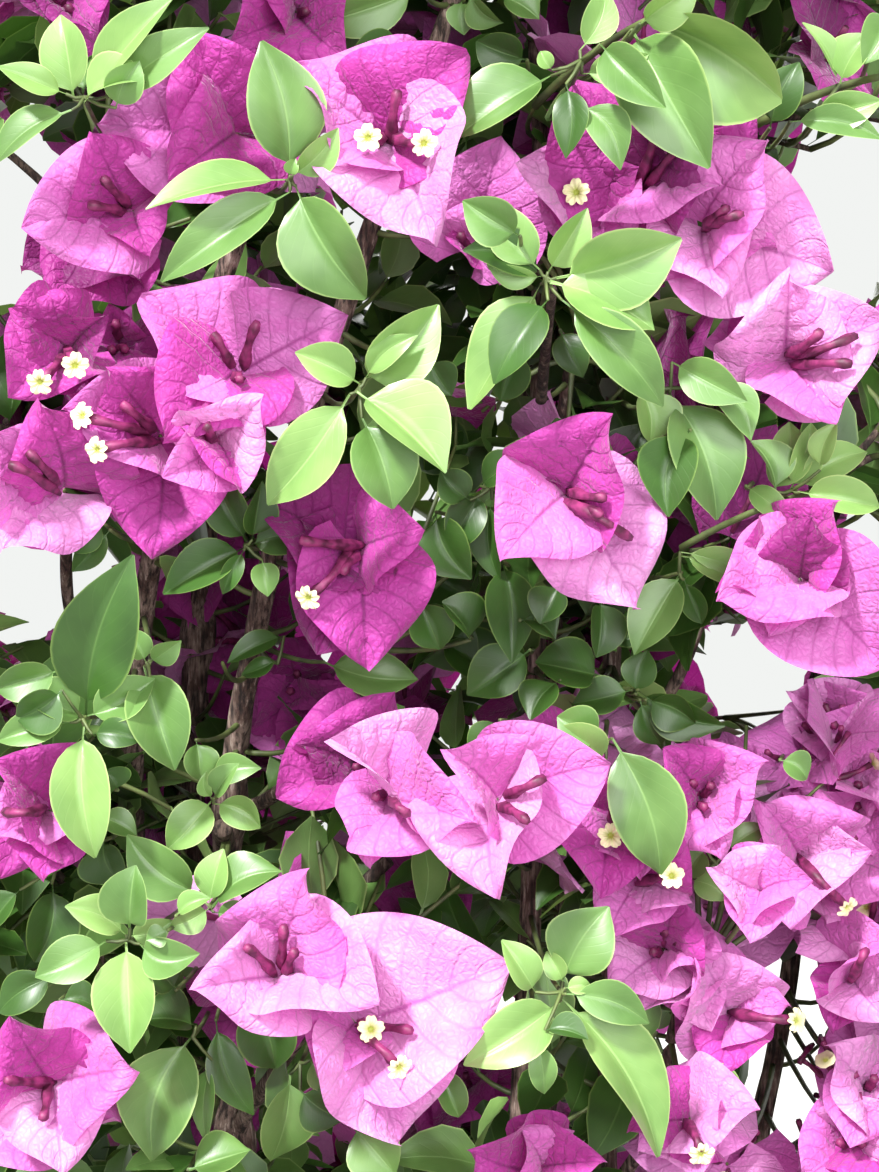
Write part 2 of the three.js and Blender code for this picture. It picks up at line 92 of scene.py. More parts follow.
def sheet_parts(points, kind):
    """Vertices, corners, UVs and kept corners of points[grid, row, column]. A tube's two end
    rings, and a disc's first one, shrink to one point, so the quads there lose a corner."""
    grids, rows, columns, _ = points.shape
    row, column = corner_grid(rows, columns, kind)
    last_column = columns - (kind == SHEET)
    uv = np.stack([row / (rows - 1), column / last_column], -1)
    at_foot = (row == 0) & (kind != SHEET)
    at_tip = (row == rows - 1) & (kind == TUBE)
    own = row * columns + np.where(at_foot | at_tip, 0, column % columns)
    kept = np.ones(own.shape, bool)
    kept[:, 1] = ~at_foot[:, 1]
    kept[:, 3] = ~at_tip[:, 3]
    first = np.arange(grids)[:, None, None] * rows * columns
    corners = (first + own[None]).reshape(-1, 4)
    return (points.reshape(-1, 3), corners, np.tile(uv.reshape(-1, 4, 2), (grids, 1, 1)),
            np.tile(kept, (grids, 1)))


def write_piece(name, sheets, material, replaced):
    """Joins grids into one mesh. sheets holds pairs of points[grid, row, column, 3] and kind."""
    parts = [sheet_parts(points, kind) for points, kind in sheets if len(points)]
    counts = np.cumsum([0] + [len(p[0]) for p in parts])
    kept = np.concatenate([p[3] for p in parts])
    corners = np.concatenate([p[1] + start for p, start in zip(parts, counts)])[kept]
    uv = np.concatenate([p[2] for p in parts])[kept]
    used, loops = np.unique(corners, return_inverse=True)
    vertices = np.concatenate([p[0] for p in parts])[used] * MM
    sides = kept.sum(axis=1)
    starts = np.cumsum(sides) - sides
    mesh = bpy.data.meshes.new(name)
    mesh.vertices.add(len(vertices))
    mesh.vertices.foreach_set("co", vertices.astype(np.float32).ravel())
    mesh.loops.add(len(loops))
    mesh.loops.foreach_set("vertex_index", loops.astype(np.int32).ravel())
    mesh.polygons.add(len(sides))
    mesh.polygons.foreach_set("loop_start", starts.astype(np.int32))
    mesh.update(calc_edges=True)
    mesh.uv_layers.new(name="along_across").data.foreach_set("uv", uv.astype(np.float32).ravel())
    mesh.shade_smooth()
    mesh.materials.append(material)
    piece = bpy.data.objects.new(name, mesh)
    bpy.context.scene.collection.objects.link(piece)
    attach(piece, "root")
    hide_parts(*replaced)
    print(name, "triangles:", int((sides - 2).sum()))


# %% [markdown]
# The camera comes next, because some blooms and leaves are placed by where the photograph shows
# them. A 70 mm lens just over a metre away looks a little down at the middle of the crown.
# seen_at follows a pixel's ray to a depth, and pixel_of is the way back.

# %% The camera and its rays
PHOTO_WIDTH = 879
PHOTO_HEIGHT = 1172
LENS = 70
SENSOR = 36
CAMERA_PLACE = np.array([0.0, -1036.0, 860.0])
CAMERA_PITCH = math.radians(4)
PIXELS_PER_SLOPE = PHOTO_HEIGHT * LENS / SENSOR
RIGHT = np.array([1.0, 0.0, 0.0])
FORWARD = np.array([0.0, math.cos(CAMERA_PITCH), -math.sin(CAMERA_PITCH)])
CAMERA_UP = np.array([0.0, math.sin(CAMERA_PITCH), math.cos(CAMERA_PITCH)])

camera = bpy.data.objects.new("camera", bpy.data.cameras.new("camera"))
camera.data.lens = LENS
camera.data.sensor_width = SENSOR
camera.location = CAMERA_PLACE * MM
camera.rotation_euler = (math.radians(90) - CAMERA_PITCH, 0, 0)
bpy.context.scene.collection.objects.link(camera)
bpy.context.scene.camera = camera


def seen_at(px, py, depth):
    """The point where the ray through a pixel of the photograph reaches y = depth."""
    px, py, depth = np.broadcast_arrays(px, py, depth)
    across = (px - PHOTO_WIDTH / 2)[..., None] / PIXELS_PER_SLOPE
    rise = (PHOTO_HEIGHT / 2 - py)[..., None] / PIXELS_PER_SLOPE
    ray = FORWARD + across * RIGHT + rise * CAMERA_UP
    return CAMERA_PLACE + ray * ((depth - CAMERA_PLACE[1]) / ray[..., 1])[..., None]


def pixel_of(points):
    """Where points appear in the photograph's frame."""
    away = points - CAMERA_PLACE
    deep = away @ FORWARD
    px = PHOTO_WIDTH / 2 + PIXELS_PER_SLOPE * (away @ RIGHT) / deep
    py = PHOTO_HEIGHT / 2 - PIXELS_PER_SLOPE * (away @ CAMERA_UP) / deep
    return px, py


print("camera", round(float(-CAMERA_PLACE[1])), "mm in front, lens", LENS, "mm")

# %% [markdown]
# The stems twine round one another as they climb. Each is a helix by height: its angle turns
# steadily, and its distance from the axis grows to a full spread and closes in at the top.
# These are the sizes that the frame's solids were made from.

# %% The stems' rule
ROOT_TOP = 96
ROOT_RING = 29
SPREAD_HEIGHT = 640
TWINE_HEIGHT = 750
SIDE_HEIGHT = 800
STRAIGHT_HEIGHT = 560
CLOSE_FROM = 950
CLOSE_TO = 1200
CLOSE_SHARE = 0.3
STEM_FOOT = 30

STEM_KEYS = ("base", "side", "twist", "spread", "top", "root_radius", "tip_radius")
STEMS = {
    "left_front": (203, 208, 195, 140, 1090, 10, 3),
    "front": (250, 224, 210, 100, 1150, 9, 3),
    "left_back": (148, 150, -60, 131, 1000, 11, 4.5),
    "centre": (297, 310, 10, 65, 1050, 8, 3),
    "right": (340, 330, 0, 87, 940, 8.5, 3),
    "back": (90, 62, 60, 112, 1110, 9.5, 3),
    "far_right": (27, 12, -20, 180, 720, 9, 3.5),
}
STEMS = {name: dict(zip(STEM_KEYS, sizes)) for name, sizes in STEMS.items()}


def smooth(low, high, x):
    """0 below low, 1 above high, and an S-curve between them."""
    t = np.clip((x - low) / (high - low), 0, 1)
    return t * t * (3 - 2 * t)


def stem_at(stem, z):
    """Points of a stem's centre line at heights z."""
    z = np.asarray(z, float)
    own = stem["side"] + stem["twist"] * (np.maximum(z, STRAIGHT_HEIGHT) - SIDE_HEIGHT) / 1000
    angle = np.radians(stem["base"] + (own - stem["base"]) * smooth(ROOT_TOP, TWINE_HEIGHT, z))
    full = ROOT_RING + (stem["spread"] - ROOT_RING) * smooth(0, SPREAD_HEIGHT, z)
    distance = full * (1 - CLOSE_SHARE * smooth(CLOSE_FROM, CLOSE_TO, z))
    return np.stack([distance * np.cos(angle), distance * np.sin(angle), z], -1)


def stem_heading(stem, z):
    """The direction in which a stem climbs at height z."""
    return unit(stem_at(stem, z + 1.0) - stem_at(stem, z - 1.0))


def stem_radius(stem, z):
    """The radius falls evenly from the root crown to the tip."""
    share = (np.asarray(z, float) - ROOT_TOP) / (stem["top"] - ROOT_TOP)
    return stem["root_radius"] + (stem["tip_radius"] - stem["root_radius"]) * share


print("stems:", len(STEMS), "highest tip", max(stem["top"] for stem in STEMS.values()), "mm")

# %% [markdown]
# Each mass of foliage hangs on one stem: on its tip, or at a height where it leaves the stem.
# These rows, the masses' middles, half sizes and shares of bloom, are the frame's own.

# %% The masses' places
MASS_KEYS = ("stem", "leaves", "middle", "reach", "blooms")
MASSES = {
    "crown_tip": ("front", "tip", (5, -15, 1255), (110, 110, 118), 0.5),
    "top_front": ("left_front", "tip", (-48, -122, 1150), (114, 98, 106), 0.5),
    "top_back": ("back", "tip", (-11, 107, 1170), (118, 106, 120), 0.5),
    "top_right": ("centre", "tip", (104, -46, 1110), (104, 100, 104), 0.45),
    "top_left": ("left_back", "tip", (-132, 46, 1065), (106, 108, 108), 0.45),
    "upper_right": ("right", "tip", (154, -36, 975), (102, 104, 86), 0.45),
    "upper_left": ("left_front", 860, (-154, -66, 968), (102, 94, 86), 0.6),
    "upper_front": ("front", 850, (-45, -163, 950), (88, 74, 100), 0.4),
    "upper_front_right": ("centre", 830, (66, -133, 935), (94, 80, 96), 0.45),
    "upper_back": ("back", 825, (74, 128, 960), (124, 98, 110), 0.45),
    "middle_left": ("left_front", 735, (-175, -87, 868), (104, 96, 70), 0.9),
    "middle_front": ("front", 690, (5, -143, 800), (100, 80, 80), 0.5),
    "middle_right": ("right", 720, (148, -87, 838), (100, 96, 82), 0.6),
    "middle_back": ("left_back", 760, (-111, 128, 880), (120, 100, 108), 0.45),
    "right_shoulder": ("far_right", "tip", (228, 46, 800), (108, 116, 100), 0.7),
    "lower_left": ("left_front", 560, (-175, -76, 695), (110, 100, 94), 0.15),
    "lower_front": ("front", 540, (-26, -148, 660), (108, 86, 92), 0.8),
    "lower_front_right": ("right", 520, (117, -133, 665), (98, 94, 96), 0.45),
    "lower_right": ("far_right", 500, (260, -10, 620), (128, 124, 108), 0.85),
    "lower_back": ("back", 500, (80, 184, 670), (146, 118, 130), 0.45),
    "lower_back_left": ("left_back", 500, (-180, 112, 650), (132, 122, 118), 0.45),
    "skirt_front": ("front", 270, (-50, -215, 410), (136, 112, 120), 0.5),
    "skirt_left": ("left_front", 270, (-245, -55, 420), (126, 130, 122), 0.5),
    "skirt_right_front": ("right", 250, (165, -180, 385), (130, 118, 120), 0.5),
    "skirt_right": ("far_right", 230, (285, 70, 365), (126, 136, 122), 0.5),
    "skirt_back": ("back", 250, (95, 245, 385), (136, 120, 130), 0.5),
    "skirt_back_left": ("left_back", 250, (-150, 210, 380), (134, 126, 126), 0.5),
}
MASS_NAMES = list(MASSES)
print("masses:", len(MASS_NAMES))

# %% [markdown]
# Every limb is one quadratic curve of three corners, which sets out along its parent and bends to
# its end. That is the simplest curve that leaves a limb without a kink, and it is quick to work
# out for thousands of twigs at once. Directions are spread by the golden angle, as leaves are.

# %% Curves and ways
UP = np.array([0.0, 0.0, 1.0])
OUT = unit(np.array([0.31, 0.23, 0.92]))
GOLDEN_ANGLE = math.pi * (3 - math.sqrt(5))


def turned(v, axis, angle):
    """Vectors turned about unit axes: the part along the axis stays, the rest goes round."""
    angle = np.asarray(angle, float)[..., None]
    along = axis * dot(v, axis)
    return along + (v - along) * np.cos(angle) + np.cross(axis, v) * np.sin(angle)


def spread_ways(axis, count, cap, phase):
    """Unit directions spread evenly over a cap round an axis, a golden angle apart."""
    k = np.arange(count)
    spread = np.arccos(1 - cap * (k + 0.5) / count)
    side = unit(np.cross(axis, OUT))
    return turned(turned(np.tile(axis, (count, 1)), side, spread), axis, k * GOLDEN_ANGLE + phase)


def bend(start, way, end, share):
    """The corner of a curve that sets out one way and bends to its end."""
    return start + way * np.linalg.norm(end - start, axis=-1, keepdims=True) * share


def curve_point(a, b, c, t):
    """Points at share t of a curve with corners a, b, c: (1-t)^2 a + 2 t (1-t) b + t^2 c."""
    return (1 - t) ** 2 * a + 2 * t * (1 - t) * b + t**2 * c


def curve_way(a, b, c, t):
    """Unit tangents at share t of the same curve."""
    return unit((1 - t) * (b - a) + t * (c - b))


def on_curve(curves, t):
    """Points of curves[n, 3 corners, 3] at shares t[m], as an array [n, m, 3]."""
    return curve_point(*(curves[:, k, None, :] for k in range(3)), np.asarray(t, float)[..., None])


def curve_heading(curves, t):
    """Unit tangents of the same curves at the same shares."""
    return curve_way(*(curves[:, k, None, :] for k in range(3)), np.asarray(t, float)[..., None])


straight = np.array([[[0.0, 0, 0], [0, 0, 1], [0, 0, 2]]])
print("middle of a straight curve:", on_curve(straight, [0.5])[0, 0])

# %% [markdown]
# A bough leaves the stem and ends where it enters the mass, where the mass's lead grows on from
# it. The twigs leave the lead and bend to places spread evenly over the outer part of the mass.
# The same seeded numbers as in the frame's source give the same twigs.

# %% The masses' rule
TIP_RISE = 1.1
SIDE_RISE = 0.35
LEAD_END = 0.35
LEAD_BEND = 0.4
BOUGH_BEND = 0.45
FORK_RISE = 0.5
ENTRY = 0.82
SHORTEST_BOUGH = 18
BOUGH_RADIUS = 3.6
BOUGH_TIP_RADIUS = 2.6
TWIG_SPACE = 25
TWIG_BEND = 0.35
FIRST_TWIG = 0.3
LAST_TWIG = 0.9
TIP_INSET = 46
CAP_SHARE = 1.4
FIRST_SEED = 1000
SEED_STEP = 77


def first_number(seed):
    """The first of the source's repeatable numbers from 0 to 1."""
    return ((seed * 1664525 + 1013904223) % 4294967296) / 4294967296


def grow_mass(name, index):
    """A mass's place, its bough if it has one, and its limbs: the lead, then the twigs."""
    row = dict(zip(MASS_KEYS, MASSES[name]))
    stem = STEMS[row["stem"]]
    middle, reach = (np.array(row[key], float) for key in ("middle", "reach"))
    tip = row["leaves"] == "tip"
    flat = unit(np.array([middle[0], middle[1], 0.0]))
    outward = unit(flat + UP * (TIP_RISE if tip else SIDE_RISE))
    end = middle + outward * reach * LEAD_END
    bough = None
    if tip:
        root = stem_at(stem, stem["top"])
        heading = stem_heading(stem, stem["top"])
        lead = np.array([root, bend(root, heading, end, LEAD_BEND), end])
    else:
        root = stem_at(stem, row["leaves"])
        away = middle - root
        distance = np.linalg.norm(away / reach)
        entry = middle - away * ENTRY / distance
        climb = stem_heading(stem, row["leaves"])
        way = unit(unit(away - climb * (away @ climb)) + climb * FORK_RISE)
        room = np.linalg.norm(entry - root) - stem_radius(stem, row["leaves"])
        if distance > ENTRY and room > SHORTEST_BOUGH:
            bough = np.array([root, bend(root, way, entry, BOUGH_BEND), entry])
            lead = np.array([entry, bend(entry, unit(entry - bough[1]), end, LEAD_BEND), end])
        else:
            lead = np.array([root, bend(root, way, end, LEAD_BEND), end])
    size = float(np.cbrt(reach.prod()))
    phase = first_number(FIRST_SEED + SEED_STEP * index) * 2 * math.pi
    ways = spread_ways(outward, round(size / TWIG_SPACE), CAP_SHARE, phase)
    ends = middle + ways * (reach - TIP_INSET)
    shares = FIRST_TWIG + (LAST_TWIG - FIRST_TWIG) * (ways @ outward + 1) / 2
    starts = on_curve(lead[None], shares)[0]
    headings = curve_heading(lead[None], shares)[0]
    span = np.linalg.norm(ends - starts, axis=1, keepdims=True)
    corners = starts + (ends - starts + headings * span) * TWIG_BEND
    twigs = np.stack([starts, corners, ends], 1)
    return dict(name=name, middle=middle, reach=reach, size=size, outward=outward, bough=bough,
                lead=lead, twigs=twigs, blooms=row["blooms"], phase=phase)


masses = [grow_mass(name, index) for index, name in enumerate(MASS_NAMES)]
print("primary twigs:", sum(len(mass["twigs"]) for mass in masses))

# %% [markdown]
# A limb is a ring carried along a line of points. The ring's two axes stand square to the line,
# measured from whichever world axis the limb runs along least, so that a straight limb of any
# slant has no twist. Each end is drawn in to a point over a short length, which closes the tube.

# %% Tubes along lines
END_LENGTH = 0.3


def tubes(points, radii, sides):
    """Rings round points[n, m, 3] with radii[n, m] or radii[n, m, sides], as [n, m, sides, 3]."""
    heading = unit(np.gradient(points, axis=1))
    least = np.abs(heading.mean(axis=1)).argmin(axis=1)
    reference = np.eye(3)[least][:, None, :]
    first = unit(np.cross(reference, heading))
    second = np.cross(heading, first)
    angle = np.arange(sides) * 2 * math.pi / sides
    radii = np.asarray(radii, float)
    if radii.ndim == 2:
        radii = radii[:, :, None]
    ring = first[:, :, None] * np.cos(angle)[:, None] + second[:, :, None] * np.sin(angle)[:, None]
    return points[:, :, None] + ring * radii[..., None]


def closed(points, radii):
    """A line of points and radii with one more ring at each end, drawn in to a point."""
    foot = points[:, :1] - unit(points[:, 1:2] - points[:, :1]) * END_LENGTH
    tip = points[:, -1:] + unit(points[:, -1:] - points[:, -2:-1]) * END_LENGTH
    radii = np.concatenate([radii[:, :1] * 0, radii, radii[:, -1:] * 0], axis=1)
    return np.concatenate([foot, points, tip], axis=1), radii


# %% [markdown]
# Old bougainvillea wood is grey-brown, with long ridges and cracks that follow the stem, and
# swollen knots where side limbs leave it. Bump alone would leave the outline smooth, so the
# relief is in the mesh: waves with a whole number of ridges round the stem, drawn out
# lengthwise, sharpened into cracks, with knots added at the forks.

# %% Bark relief
RIDGE_COUNTS = (2, 3, 5, 7, 10)
RIDGE_DEPTH = 0.22
CRACK_WIDTH = 0.2
KNOT_SWELL = 0.45
KNOT_LENGTH = 13
bark_rng = np.random.default_rng(11)


def lengths_along(line):
    """The length of a line of points from its first point to each."""
    steps = np.linalg.norm(np.diff(line, axis=0), axis=1)
    return np.concatenate([[0], np.cumsum(steps)])


def ridges(turn, length, rng):
    """The sum of cos(count turn + slant length + sway) / sqrt(count), each wave fading in and
    out along the limb; roughly from -1 to 1."""
    total = np.zeros(np.broadcast(turn, length).shape)
    for count in RIDGE_COUNTS:
        slant = rng.normal(0, 0.02)
        sway = 1.3 * np.sin(length / rng.uniform(35, 80) + rng.uniform(0, 6))
        wave = np.cos(count * turn + slant * length + sway + rng.uniform(0, 6))
        fade = 0.6 + 0.4 * np.sin(length / rng.uniform(15, 40) + rng.uniform(0, 6))
        total += wave * fade / math.sqrt(count)
    return total / 2


def barked(line, radius, sides, rng, knots=()):
    """A closed tube with ridged bark: the wave, less a narrow crack wherever it crosses zero.
    knots are the lengths at which the limb swells."""
    length = lengths_along(line)[:, None]
    turn = np.arange(sides)[None] * 2 * math.pi / sides
    wave = ridges(turn, length, rng)
    relief = RIDGE_DEPTH * (0.6 * wave - 0.8 * np.exp(-((wave / CRACK_WIDTH) ** 2)))
    swell = sum(KNOT_SWELL * np.exp(-(((length - at) / KNOT_LENGTH) ** 2)) for at in knots)
    girth = radius[:, None] * (1 + relief + swell)
    ends = np.array([0.0] + [1.0] * (len(line) - 2) + [0.0])[:, None]
    return tubes(line[None], (girth * ends)[None], sides)


# %% [markdown]
# The seven stems start inside the root crown, which flares into five lobes where it meets the
# ground. Both keep the frame's centre lines and radii, with the relief laid over them, so the
# dressed wood stands where the solids stand.

# %% Stems and root crown
RING_STEP = 3.6
STEM_RING = 36
STEM_START = 44
ROOT_HEIGHTS = (0, 3, 7, 14, 22, 32, 42, 52, 60, 68, 76, 81)
ROOT_RADII = (59, 60, 55, 48, 43, 39, 37, 36, 35, 31, 26, 8)
ROOT_ROWS = 44
ROOT_COLUMNS = 96
ROOT_LOBES = 5
LOBE_DEPTH = 0.13
LOBE_HEIGHT = 55
ROOT_ROUGHNESS = 0.035
ROOT_GRAIN = 1.6

forks = {name: [] for name in STEMS}
for stem_name, leaves, *_ in MASSES.values():
    if leaves != "tip":
        forks[stem_name].append(leaves)


def stem_tube(stem, heights):
    """One stem's bark from inside the root crown to its tip."""
    z = np.arange(STEM_START, stem["top"] + RING_STEP / 2, RING_STEP)
    line = stem_at(stem, z)
    knots = [np.interp(height, z, lengths_along(line)) for height in heights]
    return barked(line, stem_radius(stem, z), STEM_RING, bark_rng, knots)


def root_crown():
    """A lobed flare round the axis: radius by height, times a five-fold swell near the ground."""
    z = np.linspace(0, ROOT_HEIGHTS[-1], ROOT_ROWS)
    radius = np.interp(z, ROOT_HEIGHTS, ROOT_RADII)[:, None]
    turn = np.linspace(0, 2 * math.pi, ROOT_COLUMNS, endpoint=False)[None]
    low = 1 - smooth(0, LOBE_HEIGHT, z)[:, None]
    lobes = 1 + LOBE_DEPTH * low * np.cos(ROOT_LOBES * turn)
    rough = 1 + ROOT_ROUGHNESS * ridges(turn, z[:, None] * ROOT_GRAIN, bark_rng)
    r = radius * lobes * rough
    shell = np.stack([r * np.cos(turn), r * np.sin(turn), np.broadcast_to(z[:, None], r.shape)], -1)
    foot = shell[:1] * np.array([0.0, 0.0, 0.0])
    cap = shell[-1:] * np.array([0.0, 0.0, 1.0])
    return np.concatenate([foot, shell, cap])[None]


stem_sheets = [(stem_tube(STEMS[name], forks[name]), TUBE) for name in STEMS]
stem_sheets.append((root_crown(), TUBE))
print("stems and root crown:", len(stem_sheets), "grids")

# %% [markdown]
# A bough is thickest at its collar, where it leaves the stem, and tapers to where the mass's lead
# carries on from it. It has the stems' bark, finer.

# %% Boughs
BOUGH_RING = 14
BOUGH_STEP = 3.5
COLLAR_SWELL = 0.9
COLLAR_LENGTH = 9

bough_sheets = []
for mass in masses:
    if mass["bough"] is None:
        continue
    span = np.linalg.norm(mass["bough"][2] - mass["bough"][0])
    share = np.linspace(0, 1, max(8, round(span / BOUGH_STEP)))
    line = on_curve(mass["bough"][None], share)[0]
    radius = BOUGH_RADIUS + (BOUGH_TIP_RADIUS - BOUGH_RADIUS) * share
    radius = radius * (1 + COLLAR_SWELL * np.exp(-share * span / COLLAR_LENGTH))
    bough_sheets.append((barked(line, radius, BOUGH_RING, bark_rng), TUBE))
bough_names = [m["name"] + "_bough" for m in masses if m["bough"] is not None]
print("boughs:", len(bough_sheets))

# %% [markdown]
# Some places stay open. The photograph shows pale sky between the leaves, stems that stand free,
# and a front layer that is placed leaf by leaf later on. Each is a named patch in its pixels, and
# a few small tests ask whether a point would stand before one. The openings run right through
# the crown along the line of sight, and are too narrow to thin it from the other sides.

# %% What stays open
HERO_FRONT = -112.0
SIDE_MARGIN = 60
STEM_SAMPLES = 240

# Sky in the photograph: middle x, middle y, half width, half height, in its pixels.
SKY = ((38, 572, 66, 52), (22, 215, 34, 84), (835, 215, 52, 84), (872, 575, 40, 48),
       (748, 670, 46, 38), (786, 988, 38, 22), (786, 1094, 30, 24))
# Stems that show between the leaves: highest row, lowest row, half width, in its pixels.
OPEN_STEMS = {
    "front": (405, 850, 24),
    "left_front": (470, 700, 20),
    "left_back": (560, 745, 22),
}
# The lower right, where pale blooms stand close together, their paleness painted light: its left edge
# and its top edge.
FIELD_LEFT = 645
FIELD_TOP = 745
BOX_SLACK = 9
box_low = np.array(cad_low) / MM - BOX_SLACK
box_high = np.array(cad_high) / MM + BOX_SLACK


def in_sky(points, grow=1.0):
    """True where a point would stand in front of a patch of sky in the photograph."""
    px, py = pixel_of(points)
    hits = [((px - x) / (w * grow)) ** 2 + ((py - y) / (h * grow)) ** 2 < 1 for x, y, w, h in SKY]
    return np.any(hits, axis=0)


def hides_stem(points):
    """True where a point would stand in front of a stem that shows."""
    px, py = pixel_of(points)
    hit = np.zeros(px.shape, bool)
    for name, (top, bottom, half) in OPEN_STEMS.items():
        heights = np.linspace(STEM_FOOT, STEMS[name]["top"], STEM_SAMPLES)
        line = stem_at(STEMS[name], heights)[::-1]
        column, row = pixel_of(line)
        x = np.interp(py, row, column)
        depth = np.interp(py, row, line[:, 1])
        hit |= (py > top) & (py < bottom) & (np.abs(px - x) < half) & (points[..., 1] < depth)
    return hit


def outside(points):
    """True beyond the frame's own box and a little slack."""
    return ((points < box_low) | (points > box_high)).any(-1)


def blocked(points, grow=1.0):
    """True where nothing may grow: sky, a stem in view, or past the box."""
    return in_sky(points, grow) | hides_stem(points) | outside(points)


def in_field(points):
    """True in the photograph's lower right."""
    px, py = pixel_of(points)
    return (px > FIELD_LEFT) & (py > FIELD_TOP) & (px < PHOTO_WIDTH + SIDE_MARGIN)


def in_front(points):
    """True in the part of the crown whose blooms and leaves are placed by the photograph."""
    px, py = pixel_of(points)
    inside = (px > -SIDE_MARGIN) & (px < PHOTO_WIDTH + SIDE_MARGIN)
    inside &= (py > -SIDE_MARGIN) & (py < PHOTO_HEIGHT + SIDE_MARGIN)
    return inside & (points[..., 1] < HERO_FRONT)


print("open patches:", len(SKY), "of sky,", len(OPEN_STEMS), "stems")

# %% [markdown]
# Now the fine twigs. The frame's masses carry a handful of twigs each, and the real crown goes on
# dividing. Places for shoots are spread through each mass, denser towards its outside, and each
# is joined to the nearest limb by a thin curve that sets out along that limb. A shoot keeps to
# its own mass's side of the plane between two masses, as the solids do. A lead or twig that would
# cross what stays open is cut back to before it, and a shoot that would is left out.

# %% Fine twigs
rng = np.random.default_rng(2024)
SHOOTS_PER_MM = 0.64
SHOOT_CAP = 1.9
SHOOT_TURN = 1.7
TALLER = np.array([1.0, 1.0, 1.08])
LEAST_DEPTH = 0.12
DEPTH_POWER = 0.33
PLANE_SLACK = 6
SHOOT_CLEARANCE = 1.25
DETOUR = 1.25
AHEAD_FAVOUR = 0.35
SHOOT_BEND = 0.3
SHOOT_LEAD = 0.25
SHORTEST_SHOOT = 14
LONGEST_SHOOT = 150
LIMB_SAMPLES = np.linspace(0.25, 1, 12)
SHOOT_SAMPLES = np.linspace(0.2, 1, 6)
CUT_SAMPLES = np.linspace(0.05, 1, 20)
TWIG_MARGIN = 0.85
# Gaps right through the crown: middle x, middle z and radius, in mm.
CROWN_GAPS = ((-178, 800, 34), (150, 930, 26))


def own_side(points, mass, slack):
    """True where points lie on a mass's own side of its planes to the other masses."""
    keep = np.ones(points.shape[:-1], bool)
    for other in masses:
        if other is mass:
            continue
        between = other["middle"] - mass["middle"]
        gap = np.linalg.norm(between)
        plane = (gap**2 + mass["size"] ** 2 - other["size"] ** 2) / (2 * gap)
        keep &= (points - mass["middle"]) @ between / gap < plane + slack
    return keep


def in_view(points):
    """True where a bare twig would show: in the placed front, over a stem, or against the sky."""
    return in_front(points) | hides_stem(points) | in_sky(points, TWIG_MARGIN)


def shoots_of(mass):
    """Curves from a mass's limbs to places spread through it, as [n, 3 corners, 3]. A shoot
    leaves the nearest limb, where a way that goes on along the limb counts as a shorter one."""
    count = round(mass["size"] * SHOOTS_PER_MM)
    ways = spread_ways(mass["outward"], count, SHOOT_CAP, mass["phase"] * SHOOT_TURN)
    depth = rng.uniform(LEAST_DEPTH, 1, count) ** DEPTH_POWER
    ends = mass["middle"] + ways * mass["reach"] * TALLER * depth[:, None]
    keep = own_side(ends, mass, PLANE_SLACK) & ~blocked(ends, SHOOT_CLEARANCE) & ~in_front(ends)
    for x, z, r in CROWN_GAPS:
        keep &= np.hypot(ends[:, 0] - x, ends[:, 2] - z) > r
    ends = ends[keep]
    limbs = np.concatenate([mass["lead"][None], mass["twigs"]])
    feet = on_curve(limbs, LIMB_SAMPLES).reshape(-1, 3)
    headings = curve_heading(limbs, LIMB_SAMPLES).reshape(-1, 3)
    away = ends[:, None] - feet[None]
    length = np.linalg.norm(away, axis=-1)
    ahead = (unit(away) * headings[None]).sum(-1)
    nearest = (length * (DETOUR - AHEAD_FAVOUR * ahead)).argmin(axis=1)
    foot, heading = feet[nearest], headings[nearest]
    span = np.linalg.norm(ends - foot, axis=1)
    fits = (span < LONGEST_SHOOT) & (span > SHORTEST_SHOOT)
    foot, heading, ends = foot[fits], heading[fits], ends[fits]
    span = np.linalg.norm(ends - foot, axis=1, keepdims=True)
    corner = foot + (ends - foot) * SHOOT_BEND + heading * span * SHOOT_LEAD
    curves = np.stack([foot, corner, ends], 1)
    return curves[~in_view(on_curve(curves, SHOOT_SAMPLES)).any(axis=1)]


def cut_back(curves, stopped, least):
    """Curves ended before the first of their samples that is stopped, by de Casteljau's split.
    least is the number of samples that every curve keeps."""
    free = (~stopped(on_curve(curves, CUT_SAMPLES))).cumprod(axis=1).sum(axis=1)
    free = np.maximum(free, least)
    curves = curves[free > 0]
    t = CUT_SAMPLES[free[free > 0] - 1][:, None]
    a, b, c = curves.transpose(1, 0, 2)
    return np.stack([a, a + (b - a) * t, curve_point(a, b, c, t)], 1)


for mass in masses:
    mass["lead"] = cut_back(mass["lead"][None], in_front, 2)[0]
    mass["twigs"] = cut_back(mass["twigs"], in_view, 0)
    mass["shoots"] = shoots_of(mass)
print("shoots:", sum(len(m["shoots"]) for m in masses))

# %% [markdown]
# A leaf is one sheet. Its outline swells from the stalk and comes to a point, its two halves
# fold up from the midrib, and the midrib is an arc that bends away from the leaf's face.
# A bract is rounder, heart-shaped at its foot, and quilted between its veins. One formula with
# named shares makes both, because a bract is a leaf. The thousands in the crown have a few dozen
# faces each, and the ones that are placed by the photograph have more.

# %% Leaf and bract surfaces
LEAF_ROWS = np.array([0, 0.11, 0.2, 0.34, 0.52, 0.72, 0.88, 1.0])
LEAF_COLUMNS = np.linspace(-1, 1, 5)
BRACT_ROWS = np.array([0, 0.1, 0.24, 0.42, 0.62, 0.82, 1.0])
BRACT_COLUMNS = np.linspace(-1, 1, 7)
FINE_LEAF_ROWS = np.concatenate([[0, 0.06], np.linspace(0.11, 1, 13)])
FINE_LEAF_COLUMNS = np.linspace(-1, 1, 9)
FINE_BRACT_ROWS = np.linspace(0, 1, 19)
FINE_BRACT_COLUMNS = np.linspace(-1, 1, 17)
STALK_SHARE = 0.11
SIDE_VEINS = 6.5
VEIN_SLANT = 0.3
FOOT_LOBE = 0.12


